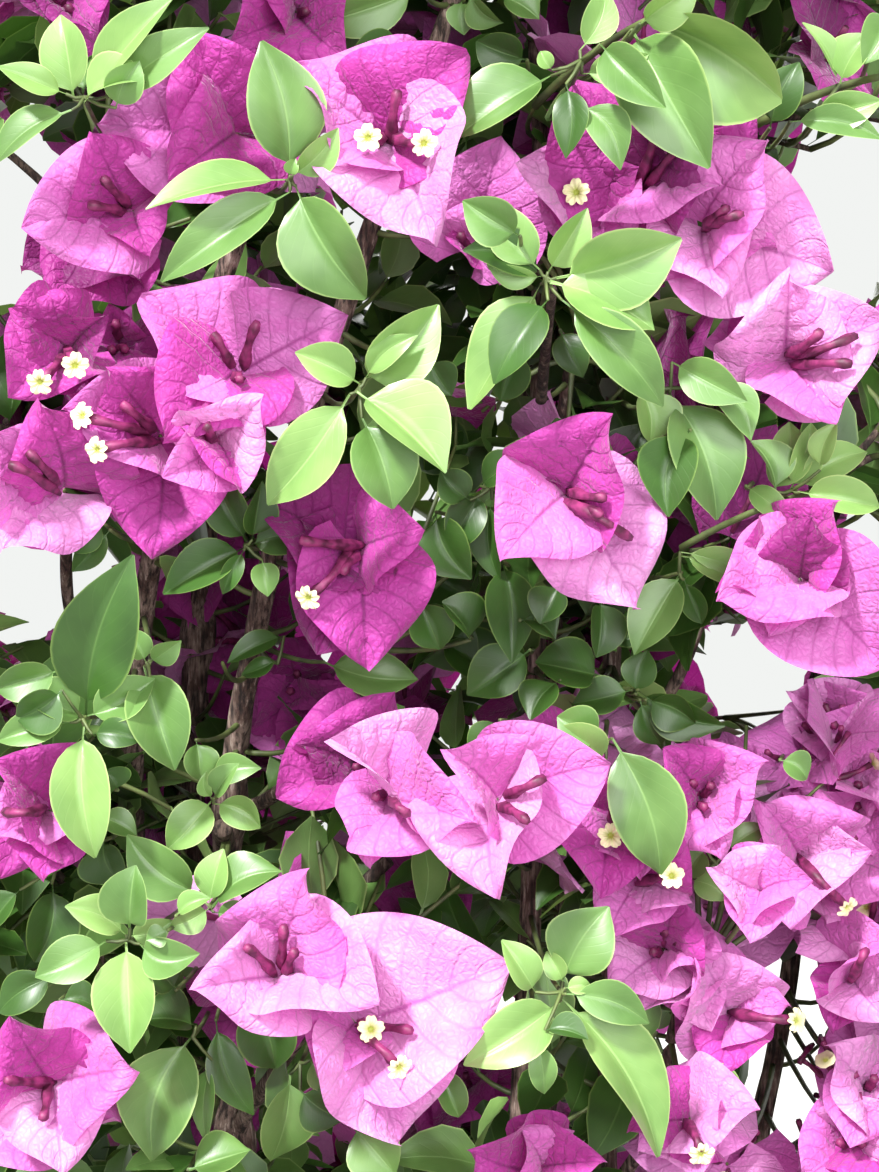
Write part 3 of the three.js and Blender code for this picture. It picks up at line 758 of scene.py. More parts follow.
def leaf_outline(u):
    """Half width by share along: a thin stalk, then t^0.8 (1-t)^1.08, widest 1."""
    t = np.clip((u - STALK_SHARE) / (1 - STALK_SHARE), 0, 1)
    return np.maximum(t**0.8 * (1 - t) ** 1.08 * 3.605, 0.035)


def bract_outline(u):
    """Half width by share along: a broad foot and a point, (u+0.03)^0.45 (1-u)^0.97, widest 1."""
    return np.maximum((u + 0.03) ** 0.45 * (1 - u) ** 0.97 * 2.32, 0.012)


def blades(shape, rows, columns, quilt=0.0):
    """Sheets [n, rows, columns, 3] for n blades, with u the share along and v the share across.
    The midrib is an arc of angle arch and swings sideways by sickle sin(pi u). Each half rises by
    fold times its width and turns back by curl v^4 at its margin, which waves by sin(3 pi u).
    The foot's lobes reach back by lobe v^2 (1-u)^6. Quilting bulges between the side veins."""
    u = rows[None, :, None]
    v = columns[None, None, :]
    c = {key: np.asarray(value, float)[:, None, None] for key, value in shape["sizes"].items()}
    half = c["width"] / 2 * shape["outline"](u)
    arch = np.where(np.abs(c["arch"]) < 1e-3, 1e-3, c["arch"])
    theta = arch * (0.5 - u)
    along = c["length"] / arch * (np.sin(arch / 2) - np.sin(theta))
    rise = c["length"] / arch * (np.cos(theta) - np.cos(arch / 2))
    across = v * half
    swing = c["sickle"] * c["length"] * np.sin(math.pi * u)
    cup = c["fold"] * np.abs(across) - c["curl"] * c["width"] * v**4 * np.sin(math.pi * u)
    ripple = c["wave"] * c["width"] * v**2 * np.sin(3 * math.pi * u + c["phase"] + 1.3 * np.sign(v))
    back = shape["lobe"] * c["width"] * v**2 * (1 - u) ** 6
    veins = SIDE_VEINS * (u - VEIN_SLANT * np.abs(v))
    cross = 2.4 * np.abs(v) + 0.8 * u
    net = np.abs(np.sin(math.pi * veins)) ** 0.7 * (0.6 + 0.4 * np.abs(np.sin(math.pi * cross)))
    pillow = quilt * c["width"] * net * np.sqrt(np.clip(4 * u * (1 - u), 0, 1)) * (1 - v**6)
    lift = cup + ripple + pillow + c["twist"] * (u - 0.3) * across
    ahead = unit(shape["along"])
    side = unit(np.cross(ahead, shape["face"]))
    face = np.cross(side, ahead)
    out = along - back - lift * np.sin(theta)
    up = rise + lift * np.cos(theta)
    ahead, side, face, root = (a[:, None, None] for a in (ahead, side, face, shape["root"]))
    return (root + ahead * out[..., None] + side * (across + swing)[..., None]
            + face * up[..., None])


def shape_of(values, outline, lobe):
    """Joins a list of blades' arrays for blades(), and sets their vectors apart from their sizes."""
    joined = {key: np.concatenate([v[key] for v in values]) for key in values[0]}
    vectors = {key: joined.pop(key) for key in ("root", "along", "face")}
    return dict(vectors, sizes=joined, outline=outline, lobe=lobe)


print("grid of a leaf:", len(LEAF_ROWS), "by", len(LEAF_COLUMNS))
print("grid of a placed bract:", len(FINE_BRACT_ROWS), "by", len(FINE_BRACT_COLUMNS))

# %% [markdown]
# Leaves and bracts are sorted by tint as they are made, because each tint is a piece with a
# material of its own. A bin holds arrays of places, ways and sizes, each drawn from its kind's
# own range. The surfaces are worked out only at the end, all at once.

# %% Bins for each tint
# Ranges of fold, arch and wave, spread of the sickle, range of the curl, spread of the twist.
OWN_RANGES = {
    "leaf": ((0.12, 0.5), (0.2, 1.1), (0.0, 0.05), 0.045, (0, 0.03), 0.35),
    "placed_leaf": ((0.35, 0.9), (0.4, 1.2), (0.0, 0.035), 0.07, (0, 0.08), 0.2),
    "bract": ((0.02, 0.38), (-0.3, 0.8), (0.03, 0.12), 0.03, (-0.03, 0.12), 0.3),
}
# Leaf tints are partly painted: deep is painted shade, and young is partly painted light.
LEAF_TINTS = ("deep", "mid", "young")
# Bract tints are partly painted: deep is painted shade, and pale and blush are partly painted light.
BRACT_TINTS = ("deep", "mid", "pale", "blush_and_lit")
LIGHTEST = len(BRACT_TINTS) - 1
leaf_bins = {tint: [] for tint in LEAF_TINTS}
bract_bins = {tint: [] for tint in BRACT_TINTS}
tube_lines = []
fine_tube_lines = []
star_places = []
fine_star_places = []
twig_lines = []
stalk_lines = []
print("tints:", LEAF_TINTS, BRACT_TINTS)


def deal(bins, names, tint, values):
    """Puts each row of a dict of arrays into the bin of its tint."""
    for k, name in enumerate(names):
        chosen = tint == k
        if chosen.any():
            bins[name].append({key: value[chosen] for key, value in values.items()})


def own_sizes(kind, n):
    """The folds and waves that make each of n blades of a kind differ from the others."""
    fold, arch, wave, sickle, curl, twist = OWN_RANGES[kind]
    return dict(fold=rng.uniform(*fold, n), arch=rng.uniform(*arch, n), wave=rng.uniform(*wave, n),
                sickle=rng.normal(0, sickle, n), curl=rng.uniform(*curl, n),
                phase=rng.uniform(0, 6, n), twist=rng.normal(0, twist, n))


# %% [markdown]
# The leaves of a shoot stand one by one round it, a golden angle apart, closer and smaller
# towards its tip. Each sets out a little forward and up, turns its face to the light, and droops.
# At the tip stands a bunch of young leaves, or a bloom. Leaves deep in the crown take the deep tint,
# which is painted shade, and outer leaves near a tip take the young tint, which is partly painted
# light.

# %% Leaves along a shoot
LEAF_SPACE = 15
TIP_SPACE = 3
LEAF_SLOTS = 7
LIMB_LEAF_SLOTS = 13
FIRST_LEAF = 0.2
LEAF_LENGTH = 58
LEAF_WIDTH = (0.49, 0.61)
LEAF_LEAN = (38, 72)
LEAF_DROOP = 0.12
FIELD_LEAVES = 0.3
EDGE_MARGIN = 0.9
YOUNG_AND_LIT_ABOVE = 0.42
MID_ABOVE = -0.1


def add_leaves(root, along, face, length, tint):
    """Keeps leaves that stay clear of what is open, with their own fold, arch and ripple."""
    middle, tip = (root + along * length[:, None] * share for share in (0.55, 1.0))
    keep = ~blocked(middle) & ~blocked(tip, EDGE_MARGIN) & ~in_front(middle)
    keep &= ~in_field(middle) | (rng.uniform(0, 1, len(root)) < FIELD_LEAVES)
    root, along, face, length, tint = (a[keep] for a in (root, along, face, length, tint))
    n = len(root)
    values = dict(root=root, along=along, face=face, length=length,
                  width=length * rng.uniform(*LEAF_WIDTH, n), **own_sizes("leaf", n))
    deal(leaf_bins, LEAF_TINTS, tint, values)


def leafy(curves, mass, scale, young_tip, slots):
    """Leaves along curves[n, 3, 3] from their tips back towards their feet."""
    span = np.linalg.norm(curves[:, 2] - curves[:, 0], axis=1)
    slot = np.arange(slots)[None]
    share = 1 - (TIP_SPACE + LEAF_SPACE * slot * (0.75 + 0.25 * slot / slots)) / span[:, None]
    valid = share > FIRST_LEAF
    curve_of, slot_of = np.nonzero(valid)
    t = share[valid][:, None]
    corners = curves[curve_of].transpose(1, 0, 2)
    root, heading = curve_point(*corners, t), curve_way(*corners, t)
    n = len(root)
    side = unit(np.cross(heading, OUT))
    side = turned(side, heading, slot_of * GOLDEN_ANGLE + curve_of * 1.7 + rng.normal(0, 0.25, n))
    spread = np.radians(rng.uniform(*LEAF_LEAN, n))[:, None]
    along = unit(heading * np.cos(spread) + side * np.sin(spread) - UP * LEAF_DROOP)
    face = unit(heading * 0.7 + UP * 0.8 + rng.normal(0, 0.15, (n, 3)))
    grown = np.clip(0.62 + 0.16 * slot_of, 0, 1) if young_tip else 1.0
    length = LEAF_LENGTH * scale * grown * rng.uniform(0.78, 1.16, n)
    # Painted shade: the deeper a leaf is inside its mass, the likelier it is to take the deep tint.
    inside = 1 - np.linalg.norm((root - mass["middle"]) / mass["reach"], axis=1)
    chance = rng.uniform(0, 1, n) - 0.14 * slot_of - 0.9 * np.clip(inside, 0, 1)
    tint = np.where(chance > YOUNG_AND_LIT_ABOVE, 2, np.where(chance > MID_ABOVE, 1, 0))
    add_leaves(root, along, face, length, tint)


# %% [markdown]
# A bloom has three bracts, a third of a turn apart, each with a flower's tube at its foot. A few
# of the tubes have opened as a star. The bracts lean out from the bloom's axis by an angle of
# their own, and each has its own folds and waves, so that no two blooms are alike.

# %% Blooms at the tips
BRACT_LENGTH = 46
BRACT_WIDTH = (0.92, 1.08)
BRACT_LEAN = (48, 80)
LIGHTER_BRACTS = 0.3
OPEN_FLOWERS = 0.14
TUBE_FOOT = 3
TUBE_LENGTH = (15, 21)
TUBE_LEAN = (0.1, 0.55)


def bract_sizes(length, n):
    """The sizes of n bracts of these lengths, each about as wide as it is long."""
    return dict(length=length, width=length * rng.uniform(*BRACT_WIDTH, n), **own_sizes("bract", n))


def bloom_parts(centre, axis, turn, scale, tint):
    """Three bracts and three tubes round each axis. The bracts lean out from it."""
    n = len(centre)
    side = unit(np.cross(axis, OUT))
    for k in range(3):
        way = turned(side, axis, turn + k * 2 * math.pi / 3 + rng.normal(0, 0.12, n))
        open_by = np.radians(rng.uniform(*BRACT_LEAN, n))[:, None]
        along = unit(axis * np.cos(open_by) + way * np.sin(open_by))
        length = BRACT_LENGTH * scale * rng.uniform(0.88, 1.12, n)
        values = dict(root=centre + along * 0.8, along=along, face=axis, **bract_sizes(length, n))
        middle = centre + along * length[:, None] * 0.6
        keep = ~blocked(middle) & ~in_front(middle)
        keep &= ~blocked(centre + along * length[:, None], EDGE_MARGIN)
        lighter = np.minimum(tint + 1, LIGHTEST)
        own_tint = np.where(rng.uniform(0, 1, n) < LIGHTER_BRACTS, lighter, tint)
        deal(bract_bins, BRACT_TINTS, own_tint[keep], {key: v[keep] for key, v in values.items()})
        foot = centre + along * TUBE_FOOT
        aim = unit(axis + way * rng.uniform(*TUBE_LEAN, n)[:, None])
        opened = rng.uniform(0, 1, n) < OPEN_FLOWERS
        add_tubes(foot[keep], aim[keep], rng.uniform(*TUBE_LENGTH, n)[keep], opened[keep],
                  tube_lines, star_places)


def add_tubes(foot, aim, length, opened, lines, stars):
    """A flower's tube from its bract's foot, gently bent, and a star on those that opened."""
    tip = foot + aim * length[:, None]
    corner = foot + aim * length[:, None] * 0.5 + rng.normal(0, 1.2, foot.shape)
    lines.append(np.stack([foot, corner, tip], 1))
    stars.append(np.concatenate([tip, unit(aim)], axis=1)[opened])


# %% [markdown]
# Each mass is dressed by its share of bloom: so many of its shoots end in a bloom, often with a
# second one just behind it, and the others end in young leaves. Blooms deep inside take the deep
# tint, which is painted shade.

# %% Dress the masses
TWIG_LEAF_SCALE = 0.95
BLOOM_LEAF_SCALE = 0.85
OUTER_SHARE = 0.55
BLOOMING_TIPS = 0.78
SECOND_BLOOM = 0.42
SECOND_BACK = 9
STALK_FOOT = 2
STALK_LENGTH = (9, 16)
BLOOM_SCALE = (0.88, 1.08)
BLOOM_CLEARANCE = 1.2
FLOWER_REACH = 16


def dress_mass(mass, index):
    """Leaves and blooms on a mass's lead, twigs and shoots, by the source's bloom share."""
    limbs = np.concatenate([mass["lead"][None], mass["twigs"]])
    leafy(limbs, mass, TWIG_LEAF_SCALE, False, LIMB_LEAF_SLOTS)
    shoots = mass["shoots"]
    if not len(shoots):
        return
    k = np.arange(len(shoots))
    blooming = (k * 0.618 + (index * 0.37) % 1) % 1 < mass["blooms"] * BLOOMING_TIPS
    deep = np.linalg.norm((shoots[:, 2] - mass["middle"]) / mass["reach"], axis=1)
    leafy(shoots[~blooming], mass, TWIG_LEAF_SCALE, True, LEAF_SLOTS)
    tip = shoots[blooming]
    leafy(tip, mass, BLOOM_LEAF_SCALE, False, LEAF_SLOTS)
    heading = unit(tip[:, 2] - tip[:, 1])
    outwards = unit(tip[:, 2] * np.array([1.0, 1.0, 0.0]) + UP * 60)
    n = len(tip)
    # Painted shade: blooms deep inside a mass take the deep tint.
    tint = np.where(deep[blooming] < OUTER_SHARE, 0, rng.integers(0, LIGHTEST + 1, n))
    # Painted light: blooms in the lower right take only the lighter tints.
    tint = np.where(in_field(tip[:, 2]), rng.integers(1, LIGHTEST + 1, n), tint)
    for which in range(2):
        axis = unit(heading * 0.5 + outwards * 0.75 + UP * 0.1 + rng.normal(0, 0.4, (n, 3)))
        lean = unit(rng.normal(0, 1, (n, 3)))
        foot = tip[:, 2] - heading * (STALK_FOOT + SECOND_BACK * which)
        stalk = unit(axis + lean * 0.5 * which) * rng.uniform(*STALK_LENGTH, n)[:, None]
        picked = np.ones(n, bool) if which == 0 else rng.uniform(0, 1, n) < SECOND_BLOOM
        centre = foot + stalk
        picked &= ~in_front(centre) & ~blocked(centre, BLOOM_CLEARANCE)
        picked &= ~outside(centre + axis * FLOWER_REACH)
        stalk_lines.append(np.stack([foot, foot + stalk * 0.5 + heading, centre], 1)[picked])
        bloom_parts(centre[picked], axis[picked], rng.uniform(0, 6, n)[picked],
                    rng.uniform(*BLOOM_SCALE, n)[picked], tint[picked])


def count_of(bins):
    """The number of leaves or bracts in a set of bins."""
    return sum(len(values["root"]) for part in bins.values() for values in part)


for index, mass in enumerate(masses):
    dress_mass(mass, index)
    twig_lines.append(mass["shoots"])
print("leaves:", count_of(leaf_bins), "bracts:", count_of(bract_bins))

# %% [markdown]
# Old stems also carry short leafy spurs inside the crown. They stand all round each stem, close
# enough together that the inside of the crown is dark with leaves.

# %% Spurs on the stems
SPUR_FROM = 430
SPUR_SPACE = 17
SPUR_LENGTH = 42
SPUR_STRETCH = (0.7, 1.2)
SPUR_LEAF_SLOTS = 3
SPUR_LEAF_SCALE = 0.9
BELOW_TIP = 20


def spurs_of(stem):
    """Short curves standing out round a stem, a golden angle apart."""
    z = np.arange(SPUR_FROM, stem["top"] - BELOW_TIP, SPUR_SPACE)
    foot, heading = stem_at(stem, z), stem_heading(stem, z)
    side = turned(unit(np.cross(heading, OUT)), heading, np.arange(len(z)) * GOLDEN_ANGLE)
    stretch = rng.uniform(*SPUR_STRETCH, (len(z), 1))
    end = foot + (side + heading * 0.5) * SPUR_LENGTH * stretch
    return np.stack([foot, foot + side * SPUR_LENGTH * 0.5, end], 1)


# The crown as a whole, by which leafy() tells how deep a spur's leaf is, and so how often it takes
# the deep tint of painted shade.
inner = dict(middle=np.array([0.0, 0.0, 760.0]), reach=np.array([260.0, 260.0, 700.0]))
for stem in STEMS.values():
    spurs = spurs_of(stem)
    spurs = spurs[~blocked(spurs[:, 2]) & ~in_front(spurs[:, 2]) & ~in_sky(spurs[:, 1])]
    twig_lines.append(spurs)
    leafy(spurs, inner, SPUR_LEAF_SCALE, True, SPUR_LEAF_SLOTS)
print("leaves, with those on spurs:", count_of(leaf_bins))

# %% [markdown]
# The front of the crown follows the photograph. Each bloom there is named by where it is and
# given by the pixel of its middle and of its three bracts' tips, and a bract whose tip is closer
# than a real bract is long leans towards the viewer. Depth is the place along Y at which the
# bloom stands, in mm. Tints are letters, from D for deep to B for blush, and are partly painted
# light and shade: D for a bract in shade, P and B for one in full sun.

# %% Where the front blooms are
BUD = 0
STAR = 1
SHADE = 5
DEEP_SHADE = 86
TINT_LETTERS = "DMPB"
# centre, depth, the bracts' tints, their tips, and the flowers that show as (tip x, tip y, kind)
BLOOMS = {
    "top_middle": ((388, 142), -182, "PMB", ((291, 65), (469, 52), (432, 244)),
        ((369, 138, STAR), (422, 143, STAR), (398, 90, BUD))),
    "top_back_left": ((296, 12), -120, "MMM", ((230, 40), (345, 60), (262, -40))),
    "top_corner": ((60, 8), -110, "DDM", ((18, -8), (98, 40), (120, -30))),
    "curled_left": ((236, 134), -160, "PMM", ((97, 122), (194, 30), (168, 182))),
    "left_upper": ((133, 212), -158, "MPM", ((92, 131), (20, 228), (150, 258)),
        ((103, 178, BUD), (88, 205, BUD))),
    "left_upper_shade": ((118, 252), -120, "DDM", ((20, 270), (125, 302), (50, 300))),
    "left_edge_stars": ((70, 352), -150, "MMD", ((12, 306), (8, 398), (105, 318)),
        ((75, 365, STAR), (42, 380, STAR))),
    "behind_left_pair": ((120, 345), -128, "MDM", ((108, 302), (140, 395), (88, 388))),
    "two_buds": ((238, 374), -176, "PPM", ((140, 296), (347, 316), (165, 440)),
        ((213, 333, BUD), (257, 322, BUD), (240, 380, BUD))),
    "curled_down": ((216, 440), -190, "PMB", ((162, 476), (240, 490), (262, 400)), ((205, 425, BUD),)),
    "stars_left": ((160, 436), -160, "PMM", ((62, 408), (152, 558), (108, 372)),
        ((86, 417, STAR), (101, 449, STAR), (122, 403, BUD))),
    "stars_left_low": ((150, 460), -138, "BPM", ((64, 470), (112, 500), (70, 395))),
    "left_edge_buds": ((64, 490), -160, "BPM", ((3, 547), (-14, 432), (40, 404)),
        ((9, 464, BUD), (28, 451, BUD))),
    "upper_right_star": ((588, 206), -150, "BMP", ((518, 158), (640, 168), (610, 268)),
        ((577, 193, STAR),)),
    "upper_right": ((640, 196), -158, "MDP", ((577, 76), (700, 120), (722, 188)),
        ((660, 108, BUD), (682, 140, BUD))),
    "upper_right_back": ((664, 150), -120, "MDM", ((742, 62), (632, 100), (720, 60))),
    "upper_right_wide": ((702, 226), -162, "BBP", ((832, 270), (722, 298), (770, 142)),
        ((742, 214, BUD), (728, 208, BUD))),
    "upper_right_low": ((706, 240), -148, "PBP", ((648, 290), (690, 296), (776, 250))),
    "behind_top_middle": ((474, 250), -110, "PMP", ((502, 136), (446, 236), (520, 210))),
    "right_edge": ((786, 362), -160, "BBP", ((790, 272), (888, 318), (836, 424)),
        ((822, 330, BUD), (856, 336, BUD), (852, 364, BUD))),
    "right_edge_left": ((760, 360), -130, "PMM", ((706, 338), (744, 300), (734, 396))),
    "big_middle": ((565, 496), -186, "MBP", ((612, 414), (636, 609), (502, 562)),
        ((606, 497, BUD), (602, 516, BUD), (630, 538, BUD))),
    "big_middle_curl": ((548, 470), -186, "MDM", ((530, 484), (562, 486), (540, 452))),
    "dark_middle": ((360, 548), -150, "DMM", ((256, 497), (422, 528), (366, 671)),
        ((311, 595, STAR), (300, 540, BUD), (342, 574, BUD))),
    "dark_middle_tongue": ((352, 552), -140, "DDD", ((316, 655), (300, 520), (390, 600))),
    "right_low_dark": ((800, 578), -160, "MPM", ((838, 500), (886, 668), (724, 590)),
        ((872, 548, BUD),)),
    "right_low_curl": ((800, 580), -168, "PPD", ((716, 600), (768, 636), (812, 520))),
    "shade_left": ((246, 642), DEEP_SHADE, "MDM", ((180, 562), (306, 612), (200, 694)),
        ((212, 606, BUD), (216, 640, BUD))),
    "shade_left_low": ((324, 734), SHADE, "PMM", ((228, 716), (366, 684), (292, 790)),
        ((300, 720, BUD),)),
    "shade_middle": ((300, 690), SHADE, "MMD", ((250, 730), (340, 690), (286, 640))),
    "pair_left": ((386, 797), -176, "BPP", ((330, 737), (472, 822), (372, 866)),
        ((374, 796, BUD), (408, 814, BUD))),
    "pair_left_back": ((372, 770), -120, "MDM", ((395, 690), (300, 745), (276, 800))),
    "pair_right": ((497, 800), -180, "PBP", ((612, 762), (496, 899), (447, 752)),
        ((545, 778, BUD), (528, 822, BUD))),
    "pair_right_back": ((560, 740), -118, "MMD", ((580, 735), (520, 736), (600, 800))),
    "left_edge_low": ((50, 812), -164, "MMP", ((-6, 760), (44, 880), (-6, 842)), ((4, 812, BUD),)),
    "left_edge_low_back": ((30, 790), -140, "MDM", ((38, 734), (74, 850), (0, 880))),
    "low_top": ((281, 976), -188, "PBB", ((307, 870), (193, 990), (380, 1004)),
        ((284, 925, BUD), (246, 947, BUD), (296, 950, BUD))),
    "low_wide": ((356, 1024), -180, "BBP", ((512, 962), (398, 1143), (318, 1078)),
        ((370, 1029, STAR), (396, 1064, STAR), (412, 1031, BUD))),
    "low_wide_upper": ((420, 1000), -146, "BPP", ((442, 932), (500, 1040), (386, 950))),
    "corner_low_left": ((51, 1084), -170, "PMB", ((134, 1068), (10, 1016), (62, 1176)),
        ((6, 1080, BUD), (42, 1120, BUD))),
    "corner_low_left_low": ((30, 1110), -150, "PBM", ((120, 1120), (-20, 1160), (-30, 1080))),
    "shade_below_pair": ((430, 900), SHADE - 20, "DDD", ((362, 880), (470, 860), (420, 962))),
    "shade_low": ((470, 1090), SHADE, "DMD", ((440, 1030), (500, 1130), (430, 1150))),
    "shade_low_left": ((230, 1120), SHADE, "DDD", ((180, 1090), (262, 1080), (220, 1172))),
    "bottom_middle": ((540, 1168), -150, "MMP", ((470, 1150), (604, 1162), (520, 1130))),
    "shade_stem": ((180, 790), DEEP_SHADE, "MDD", ((130, 760), (236, 770), (190, 840))),
    "between_stems": ((196, 560), DEEP_SHADE, "PMM", ((170, 500), (236, 540), (200, 630))),
    "star_right": ((616, 812), -136, "MPM", ((566, 800), (640, 880), (600, 900)), ((611, 834, STAR),)),
    "right_of_leaf": ((700, 800), -130, "PMP", ((766, 760), (664, 748), (720, 860))),
    "right_of_leaf_low": ((640, 880), -138, "PBM", ((606, 936), (690, 900), (668, 820)),
        ((670, 876, STAR),)),
    "field_pale": ((664, 950), -124, "BPM", ((612, 990), (722, 950), (676, 890))),
    "field_pale_low": ((690, 985), -120, "BBP", ((640, 1010), (712, 1030), (700, 930))),
    "field_edge": ((730, 1016), -116, "BPM", ((700, 950), (790, 1006), (716, 1080)),
        ((792, 1020, STAR),)),
    "field_corner": ((690, 1120), -150, "MBB", ((630, 1130), (760, 1110), (700, 1180)),
        ((700, 1150, STAR),)),
    "field_upper": ((800, 860), -112, "PBB", ((760, 800), (870, 850), (790, 930)), ((843, 903, STAR),)),
    "field_right": ((852, 978), -110, "MPB", ((834, 1030), (892, 936), (890, 1024)),
        ((866, 950, BUD),)),
    "field_low": ((862, 1090), -112, "BBP", ((828, 1044), (892, 1076), (850, 1150))),
    "field_far": ((850, 800), -70, "PBP", ((800, 770), (890, 760), (880, 860))),
    "field_bottom": ((850, 1140), -112, "PBM", ((800, 1180), (890, 1100), (900, 1190))),
    "field_between": ((760, 892), -172, "BPP", ((712, 866), (812, 880), (750, 944))),
    "field_far_right": ((830, 720), -60, "BPB", ((790, 690), (880, 700), (850, 780))),
}
print("placed blooms:", len(BLOOMS))

# %% [markdown]
# The three bracts of a placed bloom lie in thin layers, so that most overlap without cutting into
# each other. A flower's tube lies along its own bracts, in front of them all the way, as the real one
# does where its foot is fused to the bract's midrib. So the bracts' surfaces are worked out first,
# and the tube's middle and tip are set just in front of what stands near their pixels. A star
# opens towards the viewer and a little along its tube.

# %% Place the front blooms
REAL_BRACT = 47.0
LEAST_LEAN = 0.2
MOST_LEAN = 0.85
PLACED_WIDTH = 1.17
BRACT_LAYER = 2.4
QUILT = 0.055
FLOWER_LEAN = 0.35
TUBE_CLEARANCE = 3.2
# For a bud and for a star: how near in pixels a bract counts as under it, and its least length.
TUBE_NEAR = (8, 15)
SHORTEST_TUBE = (13.0, 18.0)
ALONG_TUBE = 0.9
BACK_ROW = -135
BACK_TUBE = 15.0
PLACED_ARCH = (0.1, 0.9)
PLACED_FOLD = (0.3, 0.85)
PLACED_WAVE = (0.05, 0.12)
PLACED_TWIST = 0.22
fine_bracts = {tint: [] for tint in BRACT_TINTS}
hero_feet = []
rng = np.random.default_rng(77)


def fine_bract_sheets(values):
    """The full surfaces of placed bracts, quilted between their veins."""
    return blades(shape_of(values, bract_outline, FOOT_LOBE), FINE_BRACT_ROWS,
                  FINE_BRACT_COLUMNS, QUILT)


def toward_camera(points):
    """Unit vectors from points to the camera."""
    return unit(CAMERA_PLACE - points)


def front_of(faces, px, py, depth, near_by):
    """How near the viewer a bloom's bracts come at a pixel, as Y, or its own depth beside them."""
    x, y = pixel_of(faces)
    near = np.hypot(x - px, y - py) < near_by
    return faces[..., 1][near].min() if near.any() else depth


def place_bloom(centre_px, depth, tints, tips, flowers=()):
    """One bloom: its bracts reach their tips' pixels, and its axis looks at the viewer and up."""
    centre = seen_at(*centre_px, depth)
    tip_x, tip_y = np.array(tips, float).T
    ends = seen_at(tip_x, tip_y, depth)
    flat = np.linalg.norm(ends - centre, axis=1)
    lean = np.sqrt(np.maximum(REAL_BRACT**2 - flat**2, 0))
    lean = np.clip(lean, LEAST_LEAN * flat, MOST_LEAN * flat)
    along = seen_at(tip_x, tip_y, depth - lean) - centre
    length = np.linalg.norm(along, axis=1)
    along = unit(along)
    axis = unit(toward_camera(centre) + UP * 0.3)
    n = len(tips)
    layer = axis * BRACT_LAYER * (np.arange(n) - 1)[:, None]
    values = dict(root=centre + along * 0.6 + layer, along=along,
                  face=axis + rng.normal(0, 0.16, (n, 3)), **bract_sizes(length, n))
    values["width"] *= PLACED_WIDTH
    values["arch"] = rng.uniform(*PLACED_ARCH, n)
    values["fold"] = rng.uniform(*PLACED_FOLD, n)
    values["wave"] = rng.uniform(*PLACED_WAVE, n)
    values["twist"] = rng.normal(0, PLACED_TWIST, n)
    deal(fine_bracts, BRACT_TINTS, np.array([TINT_LETTERS.index(t) for t in tints]), values)
    faces = fine_bract_sheets([values])
    for k, (px, py, kind) in enumerate(flowers):
        foot = centre + along[k] * TUBE_FOOT + axis
        half_x, half_y = (centre_px[0] + px) / 2, (centre_px[1] + py) / 2
        away = np.linalg.norm(seen_at(px, py, depth) - centre)
        rise = np.sqrt(max(SHORTEST_TUBE[kind] ** 2 - away**2, 0)) + FLOWER_LEAN * away
        above = front_of(faces, px, py, depth, TUBE_NEAR[kind])
        tip = seen_at(px, py, min(above, depth - rise) - TUBE_CLEARANCE)
        above = front_of(faces, half_x, half_y, depth, TUBE_NEAR[BUD])
        half = seen_at(half_x, half_y, min(above - TUBE_CLEARANCE, (foot[1] + tip[1]) / 2))
        fine_tube_lines.append(np.array([[foot, 2 * half - (foot + tip) / 2, tip]]))
        if kind == STAR:
            open_to = unit(toward_camera(tip) + unit(tip - half) * ALONG_TUBE)
            fine_star_places.append(np.concatenate([tip + open_to, open_to])[None])
    if not flowers and depth > BACK_ROW:
        aim = unit(axis + along * 0.4)
        add_tubes(centre + along * TUBE_FOOT, aim, np.full(n, BACK_TUBE), np.zeros(n, bool),
                  fine_tube_lines, fine_star_places)
    hero_feet.append(np.concatenate([centre, -axis]))


for bloom in BLOOMS.values():
    place_bloom(*bloom)
print("placed bracts:", count_of(fine_bracts), "tubes along them:", len(fine_tube_lines))

# %% [markdown]
# Behind the placed blooms of the lower right, the photograph shows a field of pale ones, too soft
# and too many to place one by one. A grid of places, each shaken by the seed, fills it. Their pale and
# blush tints are painted light.

# %% Fill the field of pale blooms
FIELD_COLUMNS = 4
FIELD_ROWS = 7
FIELD_INSET = 40
FIELD_DEPTH = (-92, -56)
FIELD_CLEARANCE = 1.5
FIELD_SCALE = (0.95, 1.1)
PALE = LIGHTEST - 1


def fill_field():
    """More pale blooms over the lower right, on a grid of places shaken by the seed."""
    column, row = np.meshgrid(np.arange(FIELD_COLUMNS), np.arange(FIELD_ROWS))
    n = column.size
    across = (column.ravel() + rng.uniform(0, 0.9, n)) * (PHOTO_WIDTH - FIELD_LEFT)
    down = (row.ravel() + rng.uniform(0, 0.9, n)) * (PHOTO_HEIGHT - FIELD_TOP)
    px = FIELD_LEFT + FIELD_INSET + across / FIELD_COLUMNS
    py = FIELD_TOP + down / FIELD_ROWS
    centre = seen_at(px, py, rng.uniform(*FIELD_DEPTH, n))
    axis = unit(toward_camera(centre) + UP * 0.35 + rng.normal(0, 0.3, (n, 3)))
    keep = ~in_sky(centre, FIELD_CLEARANCE)
    turn, scale = rng.uniform(0, 6, n), rng.uniform(*FIELD_SCALE, n)
    # Painted light: only the pale and blush tints.
    tint = rng.integers(PALE, LIGHTEST + 1, n)
    bloom_parts(centre[keep], axis[keep], turn[keep], scale[keep], tint[keep])
    hero_feet.extend(np.concatenate([centre, -axis], axis=1)[keep])


fill_field()
print("blooms in the field:", len(hero_feet) - len(BLOOMS))
